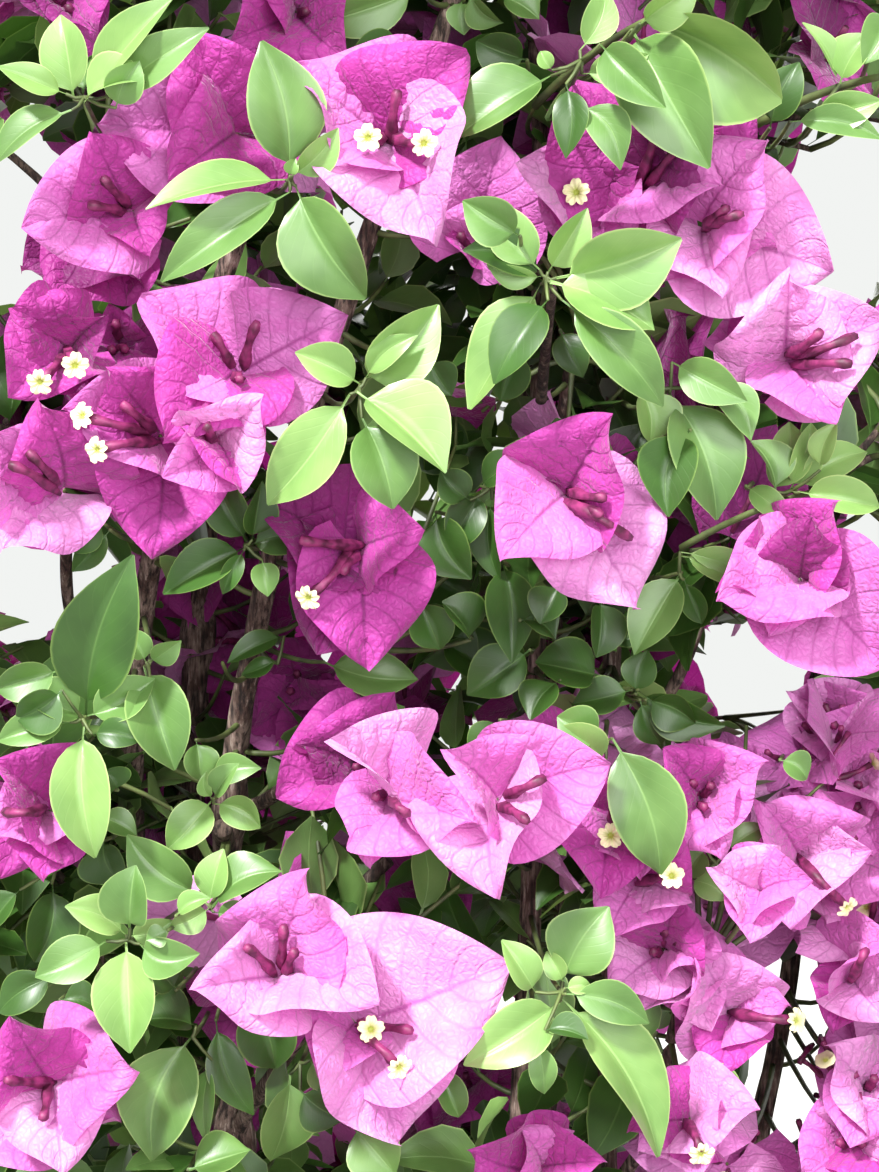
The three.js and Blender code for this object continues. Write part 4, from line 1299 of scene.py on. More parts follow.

# %% [markdown]
# The leaves in front are placed the same way, shoot by shoot: the pixels of each leaf's foot
# and tip, and its width. A shoot's leaves share one depth, with each a little in front
# of the one before, so that they lie over one another as in the photograph.

# %% Where the front leaves are
# depth, then leaves as (foot x, foot y, tip x, tip y, width, tint: 0 deep, 1 mid, 2 young);
# the tint is partly painted light and shade, 0 for a leaf in shade and 2 for one in full sun
SHOOTS = {
    "star_of_leaves": (-198, ((289, 178, 261, 40, 74, 1), (286, 180, 144, 210, 46, 2),
        (290, 192, 157, 285, 50, 1), (296, 186, 370, 305, 70, 1), (292, 176, 339, 127, 30, 2),
        (290, 176, 296, 158, 14, 2))),
    "top_left": (-190, ((74, 100, 60, 12, 44, 2), (92, 92, 175, -4, 42, 2), (110, 96, 212, 26, 44, 1),
        (84, 104, 153, 80, 40, 2), (66, 94, -4, 66, 30, 2), (72, 110, -8, 168, 40, 1),
        (116, 108, 140, 60, 36, 1))),
    "left_of_middle": (-196, ((360, 382, 441, 302, 58, 2), (360, 384, 294, 352, 40, 2),
        (366, 378, 420, 333, 26, 2), (350, 394, 266, 507, 62, 2), (356, 392, 446, 474, 74, 2),
        (362, 418, 394, 513, 64, 1))),
    "right_of_middle": (-196, ((541, 284, 469, 411, 58, 2), (544, 278, 462, 250, 44, 0),
        (540, 270, 496, 202, 46, 2), (544, 276, 486, 264, 20, 2), (548, 272, 588, 207, 34, 2),
        (556, 278, 683, 238, 62, 2), (550, 282, 656, 331, 78, 2), (562, 300, 668, 412, 54, 1),
        (548, 300, 492, 388, 50, 0), (520, 236, 462, 200, 46, 1))),
    "top_right": (-190, ((632, 30, 714, 176, 82, 1), (648, 18, 789, 104, 78, 2),
        (551, 76, 452, 141, 62, 1), (582, 74, 650, 54, 30, 2), (580, 50, 606, -14, 34, 2),
        (552, 70, 540, 50, 16, 2), (566, 84, 566, 160, 34, 0), (577, 106, 622, 172, 40, 1),
        (640, 24, 700, -16, 30, 2), (600, 44, 668, 110, 44, 1))),
    "top_middle_dark": (-120, ((527, 60, 474, 40, 40, 0), (462, 0, 464, 36, 28, 1),
        (500, -4, 540, 20, 40, 1), (420, -10, 310, 26, 44, 1), (400, 40, 350, 60, 30, 0),
        (470, -10, 505, 24, 22, 1))),
    "right_upper": (-140, ((838, 84, 802, 22, 20, 2), (840, 84, 872, 32, 40, 2),
        (812, 118, 884, 100, 36, 2), (884, 10, 862, 66, 40, 1), (790, 122, 884, 140, 30, 1),
        (770, 128, 800, 60, 40, 0))),
    "right_hanging": (-178, ((669, 394, 718, 524, 72, 1), (640, 388, 650, 444, 46, 2),
        (704, 384, 752, 442, 36, 1), (690, 430, 668, 518, 56, 0), (672, 362, 748, 402, 40, 1))),
    "middle_dark": (-132, ((560, 460, 556, 416, 38, 0), (480, 486, 528, 456, 36, 0),
        (482, 492, 450, 552, 38, 0), (492, 500, 500, 582, 30, 0), (500, 494, 526, 540, 30, 0),
        (470, 500, 440, 470, 36, 0), (430, 360, 452, 396, 40, 0), (520, 350, 500, 402, 38, 0),
        (560, 330, 584, 380, 34, 0))),
    "behind_middle": (-60, ((430, 500, 490, 430, 60, 0), (470, 470, 410, 420, 56, 0),
        (600, 490, 650, 420, 60, 0), (650, 470, 610, 400, 54, 0), (440, 640, 500, 690, 60, 0),
        (480, 620, 420, 660, 54, 0), (600, 640, 660, 600, 58, 0), (540, 690, 600, 740, 60, 0),
        (420, 560, 480, 600, 60, 0))),
    "below_big": (-150, ((682, 572, 634, 656, 50, 1), (684, 580, 702, 624, 24, 0),
        (560, 585, 540, 624, 38, 0), (680, 556, 758, 590, 34, 2), (680, 552, 772, 582, 26, 2))),
    "dark_heart": (-118, ((530, 650, 466, 696, 52, 0), (600, 676, 532, 662, 54, 0),
        (632, 690, 572, 704, 40, 0), (636, 694, 648, 650, 34, 0), (638, 690, 726, 726, 40, 0),
        (640, 700, 662, 746, 34, 0), (646, 700, 696, 724, 32, 0), (502, 560, 512, 664, 48, 0),
        (436, 512, 472, 580, 50, 0), (600, 600, 596, 660, 36, 0), (560, 680, 530, 720, 40, 0),
        (470, 640, 440, 600, 40, 0), (420, 600, 440, 650, 44, 0), (500, 720, 470, 760, 38, 0),
        (520, 620, 556, 640, 34, 0))),
    "right_tall": (-172, ((612, 738, 662, 880, 72, 1), (606, 760, 556, 726, 50, 2),
        (600, 740, 556, 716, 44, 1))),
    "right_middle": (-150, ((770, 494, 790, 420, 42, 2), (790, 490, 812, 420, 30, 2),
        (796, 490, 870, 450, 36, 2), (746, 486, 796, 524, 26, 2), (800, 492, 884, 508, 38, 2),
        (776, 492, 750, 440, 36, 1), (820, 470, 838, 420, 26, 2))),
    "shoot_left": (-182, ((86, 716, 134, 552, 78, 0), (84, 716, 18, 694, 44, 1),
        (86, 716, 156, 678, 42, 1), (84, 726, 96, 864, 56, 2), (70, 722, -6, 742, 34, 1),
        (92, 734, 142, 742, 30, 0), (60, 670, -8, 690, 36, 1), (62, 690, 14, 720, 40, 0))),
    "stem_leaf": (-176, ((144, 666, 176, 774, 60, 1), (146, 662, 124, 628, 26, 1),
        (150, 662, 182, 640, 24, 1), (150, 680, 110, 690, 24, 0))),
    "dark_star": (-150, ((246, 547, 162, 595, 46, 0), (247, 542, 210, 468, 40, 0),
        (248, 546, 318, 540, 38, 0), (262, 560, 268, 598, 27, 1), (244, 550, 222, 596, 20, 0),
        (252, 540, 262, 480, 30, 0), (110, 530, 72, 572, 26, 0), (104, 524, 66, 552, 20, 0))),
    "right_of_stem": (-110, ((324, 662, 420, 680, 50, 1), (284, 636, 226, 664, 24, 0),
        (278, 660, 240, 676, 20, 0), (196, 740, 200, 782, 34, 1), (210, 784, 262, 768, 30, 1))),
    "stub_shoot": (-160, ((212, 800, 165, 852, 42, 2), (214, 804, 261, 828, 28, 2),
        (212, 798, 206, 770, 14, 2), (214, 798, 240, 762, 26, 1))),
    "small_star": (-186, ((126, 935, 64, 906, 38, 2), (128, 936, 174, 920, 26, 2),
        (126, 940, 130, 1054, 60, 2), (106, 941, 33, 978, 46, 1), (140, 944, 202, 954, 40, 1),
        (130, 928, 136, 862, 50, 1), (176, 916, 212, 898, 22, 2), (168, 930, 146, 940, 24, 1))),
    "small_star_right": (-178, ((200, 894, 126, 834, 50, 1), (209, 904, 224, 848, 34, 2),
        (213, 907, 288, 870, 48, 1), (209, 908, 168, 928, 26, 2), (214, 912, 262, 920, 28, 1))),
    "left_low_dark": (-150, ((52, 884, 34, 966, 50, 0), (56, 976, -4, 1014, 38, 0),
        (104, 840, 122, 884, 42, 0), (98, 816, 138, 836, 28, 1), (60, 1000, 100, 1010, 36, 0),
        (20, 890, -10, 930, 30, 0), (118, 790, 104, 770, 34, 0), (30, 740, 0, 780, 30, 0))),
    "bottom_left": (-166, ((194, 1034, 152, 1162, 76, 1), (212, 1060, 206, 1142, 26, 1),
        (196, 1026, 142, 1020, 46, 0), (188, 1170, 252, 1150, 50, 1), (176, 990, 150, 960, 36, 0))),
    "bottom_middle": (-158, ((290, 1074, 271, 1162, 52, 1), (252, 996, 276, 1070, 56, 0),
        (216, 1020, 254, 1116, 40, 0), (352, 1126, 396, 1176, 54, 1), (300, 1090, 346, 1120, 44, 0),
        (310, 1060, 330, 1090, 26, 1), (440, 1068, 460, 1120, 30, 1))),
    "low_right_star": (-184, ((562, 982, 609, 906, 68, 1), (563, 982, 546, 950, 22, 2),
        (560, 1002, 460, 1068, 54, 2), (561, 999, 660, 1160, 72, 2), (535, 992, 500, 938, 36, 2),
        (565, 988, 592, 986, 18, 2), (566, 994, 650, 1024, 40, 1), (538, 1040, 544, 1096, 28, 1),
        (545, 1030, 590, 1040, 28, 0))),
    "right_low_small": (-124, ((690, 880, 730, 900, 32, 2), (728, 874, 770, 932, 32, 2),
        (726, 850, 768, 824, 26, 1), (706, 850, 688, 878, 30, 1), (780, 760, 808, 780, 30, 1),
        (700, 1060, 740, 1100, 34, 1))),
}
print("placed leaves:", sum(len(leaves) for _, leaves in SHOOTS.values()))

# %% [markdown]
# A leaf's width in pixels gives its width in millimetres at its depth. The leaf may lean towards
# the viewer or away, and roll about its own midrib, which makes it look narrower, so its width is
# divided by the roll's cosine. Leaves that start close together share one short stalk.

# %% Place the front leaves
LEAF_LAYER = 2.2
LEAF_TURN = (-0.15, 0.35)
LEAF_ROLL = 0.3
WAVY_WIDTH = 1.06
STALK_REACH = 17
STALK_SAG = np.array([0, 1.5, -1.5])
fine_leaves = {tint: [] for tint in LEAF_TINTS}


def place_shoot(depth, leaves):
    """A shoot's leaves, each reaching from its foot's pixel to its tip's."""
    table = np.array(leaves, float)
    n = len(table)
    layer = depth - LEAF_LAYER * np.arange(n)
    root = seen_at(table[:, 0], table[:, 1], layer)
    tip = seen_at(table[:, 2], table[:, 3], layer)
    flat = np.linalg.norm(tip - root, axis=1)
    tip = seen_at(table[:, 2], table[:, 3], layer - flat * rng.uniform(*LEAF_TURN, n))
    along = tip - root
    length = np.linalg.norm(along, axis=1)
    along = unit(along)
    width = table[:, 4] * (root[:, 1] - CAMERA_PLACE[1]) / PIXELS_PER_SLOPE
    face = toward_camera(root) + UP * rng.uniform(0.05, 0.45, n)[:, None]
    roll = rng.normal(0, LEAF_ROLL, n)
    face = turned(unit(face), along, roll)
    values = dict(root=root, along=along, face=face, length=length,
                  width=width * WAVY_WIDTH / np.cos(roll), **own_sizes("placed_leaf", n))
    deal(fine_leaves, LEAF_TINTS, table[:, 5], values)
    middle = np.median(root, axis=0)
    back = unit(np.array([0, 1.0, -0.5]))
    near = np.linalg.norm(root - middle, axis=1) < STALK_REACH
    apart = root[~near]
    hero_feet.append(np.concatenate([middle, back]))
    hero_feet.extend(np.concatenate([apart, np.tile(back, (len(apart), 1))], axis=1))
    foot = np.tile(middle, (near.sum(), 1))
    stalk_lines.append(np.stack([foot, (foot + root[near]) / 2 + STALK_SAG, root[near]], 1))


for depth, leaves in SHOOTS.values():
    place_shoot(depth, leaves)
print("leaves' stalks:", sum(len(lines) for lines in stalk_lines))

# %% [markdown]
# A few branches show their whole length in the photograph, old ones in bark and young ones in
# green. Each is a curve between two places, given by pixel and depth.

# %% Branches placed by the photograph
BRANCH_RISE = 0.08
# start and end as (x, y, depth), radius at each end, and whether it is bark or green
BRANCHES = {
    "side_branch": ((331, 925, -62), (389, 860, -70), 3.4, 2.9, True),
    "cut_stub": ((228, 858, -32), (222, 828, -56), 4.6, 4.2, True),
    "middle_right_shoot": ((541, 400, -112), (553, 290, -194), 2.4, 1.6, True),
    "top_right_shoot": ((535, 106, -112), (652, 18, -184), 1.8, 1.3, False),
    "right_upper_shoot": ((757, 124, -96), (884, 76, -140), 1.9, 1.4, False),
    "right_middle_shoot": ((681, 548, -112), (836, 486, -150), 1.5, 1.1, False),
}
bark_branches, green_branches = [], []
for start_px, end_px, start_radius, end_radius, is_bark in BRANCHES.values():
    start, end = seen_at(*start_px), seen_at(*end_px)
    span = np.linalg.norm(end - start)
    corner = (start + end) / 2 + UP * span * BRANCH_RISE
    curve = np.array([start, corner, end])
    radii = (start_radius, end_radius)
    (bark_branches if is_bark else green_branches).append((curve, radii))
    hero_feet.append(np.concatenate([start, unit(start - end)]))
print("placed branches:", len(BRANCHES))

# %% [markdown]
# What the photograph places still hangs on the plant: a twig goes from each bloom, shoot and
# branch back to a limb, setting out along the bloom's own axis. The limb with the least cost
# carries it. Cost is the distance, and more for a limb off to the side, for one that stands
# further forward than the bloom, and for a way that would cross the sky.

# %% Twigs that carry the front
FRONT_PENALTY = 400
FRONT_SLACK = 12
ASIDE_PENALTY = 3.5
SKY_PENALTY = 150
STEM_STEP = 12.0
PLACES_ON_LIMB = 14
CARRY_BEND = 0.25


def limb_points():
    """Points on the stems, boughs, leads and twigs."""
    points = []
    for stem in STEMS.values():
        points.append(stem_at(stem, np.arange(ROOT_TOP, stem["top"], STEM_STEP)))
    for mass in masses:
        limbs = np.concatenate([mass["lead"][None], mass["twigs"]])
        points.append(on_curve(limbs, np.linspace(0, 1, PLACES_ON_LIMB)).reshape(-1, 3))
    return np.concatenate(points)


limb_places = limb_points()
feet = np.array(hero_feet)
apart = feet[:, None, :3] - limb_places[None]
cost = np.linalg.norm(apart, axis=-1) + ASIDE_PENALTY * np.hypot(apart[..., 0], apart[..., 2])
cost += FRONT_PENALTY * (limb_places[None, :, 1] < feet[:, None, 1] + FRONT_SLACK)
for share in (0.25, 0.5, 0.75):
    between = feet[:, None, :3] * share + limb_places[None] * (1 - share)
    cost += SKY_PENALTY * in_sky(between, TWIG_MARGIN)
start = limb_places[cost.argmin(axis=1)]
reach = np.linalg.norm(feet[:, :3] - start, axis=1, keepdims=True)
corner = (start + feet[:, :3]) / 2 + feet[:, 3:] * reach * CARRY_BEND
twig_lines.append(np.stack([start, corner, feet[:, :3]], 1))
print("longest carrying twig:", round(float(reach.max())), "mm")

# %% [markdown]
# Colours come from the photograph's light and shade as plain base colours, one for each tint.
# One function turns sRGB hex to linear, and one adds a node with its settings and links.

# %% Colour and node helpers


def linear(hex_colour):
    """An sRGB hex colour as linear RGBA."""
    value = np.array([int(hex_colour[k:k + 2], 16) for k in (1, 3, 5)]) / 255
    curve = np.where(value <= 0.04045, value / 12.92, ((value + 0.055) / 1.055) ** 2.4)
    return (*curve.tolist(), 1.0)


def add_node(tree, kind, settings=(), inputs=()):
    """Adds a node. inputs maps a socket's name or number to a value, to a socket to link from, or
    to a node, whose first socket in use is linked."""
    node = tree.nodes.new(kind)
    for key, value in dict(settings).items():
        setattr(node, key, value)
    for key, value in dict(inputs).items():
        if isinstance(value, bpy.types.Node):
            value = next(socket for socket in value.outputs if socket.enabled)
        if isinstance(value, bpy.types.NodeSocket):
            tree.links.new(value, node.inputs[key])
        else:
            node.inputs[key].default_value = value
    return node


def new_material(name):
    """An empty node material and its tree."""
    material = bpy.data.materials.new(name)
    material.use_nodes = True
    material.node_tree.nodes.clear()
    return material, material.node_tree


print("middle grey in linear light:", round(linear("#808080")[0], 3))

# %% [markdown]
# A living leaf has a waxy skin with a soft gloss, and some light passes through it, so a plain
# glossy shader is mixed with a translucent one. The midrib is a paler groove, side veins branch
# from it, and the margin is a thin yellow-green line. All three follow the leaf's UV map. The
# patches of a darker green follow the leaf's place in the crown instead, so no two leaves match.

# %% Leaf material
MATH = "ShaderNodeMath"
RANGE = "ShaderNodeMapRange"
MIX = "ShaderNodeMix"
RGBA = {"data_type": "RGBA"}
TIMES = {"operation": "MULTIPLY"}
TIMES_PLUS = {"operation": "MULTIPLY_ADD"}
LARGER = {"operation": "MAXIMUM"}
LEAF_VEINS = 9.0
LEAF_VEIN_SLANT = 0.32
# Patterns are counted in repeats to the metre. These patches are 29 mm wide, half a leaf.
LEAF_PATCHES = 34.0
LEAF_GROOVE = 0.0007
LEAF_GLOW = 0.13


def blade_lines(tree, vein_count, vein_slant):
    """Nodes for the share along, the distance from the midrib, and thin side veins."""
    uv = add_node(tree, "ShaderNodeUVMap", {"uv_map": "along_across"})
    split = add_node(tree, "ShaderNodeSeparateXYZ", {}, {0: uv})
    centred = add_node(tree, MATH, TIMES_PLUS, {0: split.outputs[1], 1: 2.0, 2: -1.0})
    off = add_node(tree, MATH, {"operation": "ABSOLUTE"}, {0: centred})
    slant = add_node(tree, MATH, TIMES_PLUS, {0: off, 1: -vein_slant, 2: split})
    wave = add_node(tree, MATH, TIMES, {0: slant, 1: vein_count})
    tri = add_node(tree, MATH, {"operation": "PINGPONG"}, {0: wave, 1: 0.5})
    vein = add_node(tree, RANGE, {}, {"Value": tri, 1: 0.0, 2: 0.09, 3: 1.0, 4: 0.0})
    return split, off, vein


def mottled(tree, place, scale, detail, low, high, first, second):
    """One colour giving way to another in soft patches, by noise between two levels."""
    noise = add_node(tree, "ShaderNodeTexNoise", {},
                     {"Vector": place, "Scale": scale, "Detail": detail})
    share = add_node(tree, RANGE, {}, {"Value": noise, 1: low, 2: high})
    mixed = add_node(tree, MIX, RGBA, {0: share, 6: linear(first), 7: linear(second)})
    return mixed


def over_glow(tree, skin, glow, share):
    """Ends a material as a thin sheet: a skin, with this share of light passing through it."""
    through = add_node(tree, "ShaderNodeBsdfTranslucent", {}, {"Color": linear(glow)})
    both = add_node(tree, "ShaderNodeMixShader", {}, {0: share, 1: skin, 2: through})
    add_node(tree, "ShaderNodeOutputMaterial", {}, {"Surface": both})


def leaf_material(name, body, shaded, margin, rib, glow, gloss):
    """A waxy leaf: its patches, midrib, side veins and margin. gloss is the skin's IOR."""
    material, tree = new_material(name)
    _, off, vein = blade_lines(tree, LEAF_VEINS, LEAF_VEIN_SLANT)
    place = add_node(tree, "ShaderNodeTexCoord").outputs["Object"]
    base = mottled(tree, place, LEAF_PATCHES, 3.0, 0.35, 0.68, body, shaded)
    midrib = add_node(tree, RANGE, {}, {"Value": off, 1: 0.0, 2: 0.05, 3: 0.45, 4: 0.0})
    ribbed = add_node(tree, MIX, RGBA, {0: midrib, 6: base, 7: linear(rib)})
    faint = add_node(tree, MATH, TIMES, {0: vein, 1: 0.05})
    veined = add_node(tree, MIX, RGBA, {0: faint, 6: ribbed, 7: linear(rib)})
    edge = add_node(tree, RANGE, {}, {"Value": off, 1: 0.93, 2: 1.0, 3: 0.0, 4: 0.55})
    edged = add_node(tree, MIX, RGBA, {0: edge, 6: veined, 7: linear(margin)})
    groove = add_node(tree, MATH, TIMES_PLUS, {0: vein, 1: 0.08, 2: midrib})
    bump = add_node(tree, "ShaderNodeBump", {"invert": True},
                    {"Strength": 0.5, "Distance": LEAF_GROOVE, "Height": groove})
    skin = add_node(tree, "ShaderNodeBsdfPrincipled", {},
                    {"Base Color": edged, "Roughness": 0.44, "IOR": gloss,
                     "Coat Weight": 0.3, "Coat Roughness": 0.32, "Normal": bump})
    over_glow(tree, skin, glow, LEAF_GLOW)
    return material


# deep is a shaded copy of the leaf's green, painted shade; young is partly a lit copy, painted light.
# body, shaded patches, margin, ribs, light that passes, gloss
LEAF_LOOKS = {
    "deep": ("#3a5e23", "#284417", "#84a151", "#608242", "#4f7b23", 1.4),
    "mid": ("#658a47", "#496c30", "#b6cf80", "#8baf67", "#78a03e", 1.5),
    "young": ("#82a55b", "#638944", "#c9db8f", "#a7c57c", "#8ab048", 1.5),
}
leaf_materials = {tint: leaf_material("leaf_" + tint, *look) for tint, look in LEAF_LOOKS.items()}
print("leaf materials:", len(leaf_materials))

# %% [markdown]
# A bract is a papery leaf without wax: matt, with a sheen of fine hairs seen edge on, and thin
# enough for much light to pass. A net of fine veins lies between its side veins, and the paper
# puffs up a little in each mesh. The real net is too fine to show, so its meshes are drawn 3 mm
# wide, and noise bends its threads so that they don't look like cells.

# %% Bract material
# Patches 18 mm wide, a net of 3 mm meshes, and bends of 4 mm that shift it by as much.
BRACT_PATCHES = 55.0
VEIN_NET = 330.0
NET_BENDS = 260.0
NET_SHIFT = 0.004
BRACT_PUFF = 0.0011
BRACT_GLOW = 0.3


def bract_material(name, body, shaded, rib, glow):
    """A papery bract: its patches, its net of veins and its dark midrib, fading to the tip."""
    material, tree = new_material(name)
    along, off, vein = blade_lines(tree, SIDE_VEINS, VEIN_SLANT)
    place = add_node(tree, "ShaderNodeTexCoord").outputs["Object"]
    sway = add_node(tree, "ShaderNodeTexNoise", {},
                    {"Vector": place, "Scale": NET_BENDS, "Detail": 2.0})
    moved = add_node(tree, "ShaderNodeVectorMath", TIMES_PLUS,
                     {0: sway.outputs["Color"], 1: (NET_SHIFT,) * 3, 2: place})
    net = add_node(tree, "ShaderNodeTexVoronoi", {"feature": "DISTANCE_TO_EDGE"},
                   {"Vector": moved, "Scale": VEIN_NET})
    fine = add_node(tree, RANGE, {}, {"Value": net, 1: 0.0, 2: 0.15, 3: 0.6, 4: 0.0})
    base = mottled(tree, place, BRACT_PATCHES, 3.0, 0.36, 0.66, body, shaded)
    lines = add_node(tree, MATH, LARGER, {0: vein, 1: fine})
    faint = add_node(tree, MATH, TIMES, {0: lines, 1: 0.3})
    veined = add_node(tree, MIX, RGBA, {0: faint, 6: base, 7: linear(rib)})
    midrib = add_node(tree, RANGE, {}, {"Value": off, 1: 0.006, 2: 0.045, 3: 0.85, 4: 0.0})
    fading = add_node(tree, RANGE, {}, {"Value": along, 1: 0.4, 2: 1.0, 3: 1.0, 4: 0.1})
    line = add_node(tree, MATH, TIMES, {0: midrib, 1: fading})
    ribbed = add_node(tree, MIX, RGBA, {0: line, 6: veined, 7: linear(rib)})
    puffed = add_node(tree, RANGE, {}, {"Value": net, 1: 0.0, 2: 0.5})
    grooves = add_node(tree, MATH, LARGER, {0: vein, 1: midrib})
    height = add_node(tree, MATH, {"operation": "SUBTRACT"}, {0: puffed, 1: grooves})
    bump = add_node(tree, "ShaderNodeBump", {},
                    {"Strength": 0.5, "Distance": BRACT_PUFF, "Height": height})
    skin = add_node(tree, "ShaderNodeBsdfPrincipled", {},
                    {"Base Color": ribbed, "Roughness": 0.55, "IOR": 1.4,
                     "Sheen Weight": 0.25, "Normal": bump})
    over_glow(tree, skin, glow, BRACT_GLOW)
    return material


# deep is a shaded copy of the magenta, painted shade; pale and blush are partly lit copies, painted
# light.
# body, shaded patches, veins, light that passes
BRACT_LOOKS = {
    "deep": ("#96267e", "#781a64", "#420d39", "#b62690"),
    "mid": ("#bf43a4", "#a6318b", "#6a165a", "#d63cb0"),
    "pale": ("#d97fc8", "#ca63b5", "#8f307b", "#eb66cd"),
    "blush_and_lit": ("#e69fd8", "#da82c9", "#a84d98", "#f28cda"),
}
bract_materials = {tint: bract_material("bract_" + tint, *look)
                   for tint, look in BRACT_LOOKS.items()}
print("bract materials:", len(bract_materials))

# %% [markdown]
# Bark is dull and dusty, weathered rather than made: grey-brown patches with a fine grain drawn
# out along the limb, darker where the grain is low, partly real cracks and partly painted shade, and
# pale where it is high, partly lifted flakes and partly painted highlight. The fibres are 2 mm
# wide and 17 mm long, coarser than the real ones so that they show.

# %% Bark material
BARK_FIBRES = (460.0, 460.0, 60.0)
BARK_PATCHES = 90.0
BARK_DEPTH = 0.0016


def bark_material(name, light, dark, crack, fleck_and_highlight):
    """Dry bark: patches of two colours, pale flecks where the grain is high, partly painted highlight,
    and dark cracks below, partly painted shade.
    """
    material, tree = new_material(name)
    place = add_node(tree, "ShaderNodeTexCoord").outputs["Object"]
    drawn = add_node(tree, "ShaderNodeMapping", {}, {"Vector": place, "Scale": BARK_FIBRES})
    grain = add_node(tree, "ShaderNodeTexNoise", {},
                     {"Vector": drawn, "Scale": 1.0, "Detail": 6.0, "Roughness": 0.65})
    base = mottled(tree, place, BARK_PATCHES, 4.0, 0.4, 0.64, dark, light)
    # Pale where the grain is high: partly lifted flakes, partly painted highlight.
    high = add_node(tree, RANGE, {}, {"Value": grain, 1: 0.56, 2: 0.66, 3: 0.0, 4: 0.7})
    flecked_and_lit = add_node(tree, MIX, RGBA, {0: high, 6: base, 7: linear(fleck_and_highlight)})
    # Dark where the grain is low: partly real cracks, partly painted shade.
    low = add_node(tree, RANGE, {}, {"Value": grain, 1: 0.4, 2: 0.52, 3: 0.9, 4: 0.0})
    cracked_and_shaded = add_node(tree, MIX, RGBA, {0: low, 6: flecked_and_lit, 7: linear(crack)})
    bump = add_node(tree, "ShaderNodeBump", {},
                    {"Strength": 1.0, "Distance": BARK_DEPTH, "Height": grain})
    skin = add_node(tree, "ShaderNodeBsdfPrincipled", {},
                    {"Base Color": cracked_and_shaded, "Roughness": 0.85, "Normal": bump})
    add_node(tree, "ShaderNodeOutputMaterial", {}, {"Surface": skin})
    return material


young_bark = bark_material("young_bark", "#655549", "#3a2c26", "#19110e", "#86776b")
bark = bark_material("dry_bark", "#8a766a", "#4e3a32", "#17100e", "#b9a99c")
print("barks:", young_bark.name, bark.name)

# %% [markdown]
# Young twigs are green and smooth, and the flowers' tubes are a downy maroon. The down's hairs
# stand 0.7 mm apart, wider than real, so that they show. A star is cream, with a yellow-green
# throat, and its colour follows the share from throat to rim.

# %% Twig, tube and star materials
DOWN_HAIRS = 1500.0
DOWN_DEPTH = 0.0002


def soft_material(name, light, dark, roughness, scale):
    """Soft tissue whose colour drifts between two tints, with a fine down as bump."""
    material, tree = new_material(name)
    place = add_node(tree, "ShaderNodeTexCoord").outputs["Object"]
    base = mottled(tree, place, scale, 2.0, 0.35, 0.65, dark, light)
    down = add_node(tree, "ShaderNodeTexNoise", {}, {"Vector": place, "Scale": DOWN_HAIRS})
    bump = add_node(tree, "ShaderNodeBump", {},
                    {"Strength": 0.4, "Distance": DOWN_DEPTH, "Height": down})
    skin = add_node(tree, "ShaderNodeBsdfPrincipled", {},
                    {"Base Color": base, "Roughness": roughness, "Normal": bump})
    add_node(tree, "ShaderNodeOutputMaterial", {}, {"Surface": skin})
    return material


def star_material(name, petal, throat):
    """A star's cream lobes round a yellow-green throat, by the share from its middle out."""
    material, tree = new_material(name)
    uv = add_node(tree, "ShaderNodeUVMap", {"uv_map": "along_across"})
    split = add_node(tree, "ShaderNodeSeparateXYZ", {}, {0: uv})
    out = add_node(tree, RANGE, {}, {"Value": split, 1: 0.3, 2: 0.8})
    base = add_node(tree, MIX, RGBA, {0: out, 6: linear(throat), 7: linear(petal)})
    skin = add_node(tree, "ShaderNodeBsdfPrincipled", {},
                    {"Base Color": base, "Roughness": 0.5, "Sheen Weight": 0.2})
    add_node(tree, "ShaderNodeOutputMaterial", {}, {"Surface": skin})
    return material


green_twig = soft_material("green_twig", "#62713d", "#3b4527", 0.55, 70.0)
tube_skin = soft_material("downy_tube", "#862a5e", "#470b2c", 0.55, 200.0)
star_petal = star_material("cream_star", "#efe6ba", "#a4aa42")
print("soft materials:", green_twig.name, tube_skin.name, star_petal.name)

# %% [markdown]
# Everything is worked out by now, and is written as pieces of one kind each. The wood comes
# first. It replaces the frame's stems, boughs and root crown.

# %% Write the wood
stem_names = ["root_crown"] + [name + "_stem" for name in STEMS]
write_piece("stems_bark", stem_sheets, bark, stem_names)
write_piece("boughs_bark", bough_sheets, bark, bough_names)

# %% [markdown]
# Twigs are tubes that taper from foot to tip. The finer they are, the fewer sides and rings they
# have, since there are thousands. Old ones have young bark, and the last shoots are still green.

# %% Write the twigs
LEAD_SHARES = np.linspace(0, 1, 12)
TWIG_SHARES = np.linspace(0, 1, 6)
STALK_SHARES = np.linspace(0, 1, 3)
# Radius at the foot, radius at the tip, and sides.
LEAD_SIZE = (2.7, 1.6, 9)
TWIG_SIZE = (2.1, 1.2, 7)
SHOOT_SIZE = (1.5, 0.8, 5)
STALK_SIZE = (0.8, 0.6, 4)
GREEN_SIDES = 10
BARK_SIDES = 14


def twig_tubes(curves, shares, foot_radius, tip_radius, sides):
    """Tapering closed tubes along curves[n, 3, 3]."""
    line = on_curve(curves, shares)
    radius = np.broadcast_to(foot_radius + (tip_radius - foot_radius) * shares, line.shape[:2])
    return tubes(*closed(line, radius), sides), TUBE


def joined(lines):
    """The lists of curves that hold any, as one array."""
    return np.concatenate([curves for curves in lines if len(curves)])


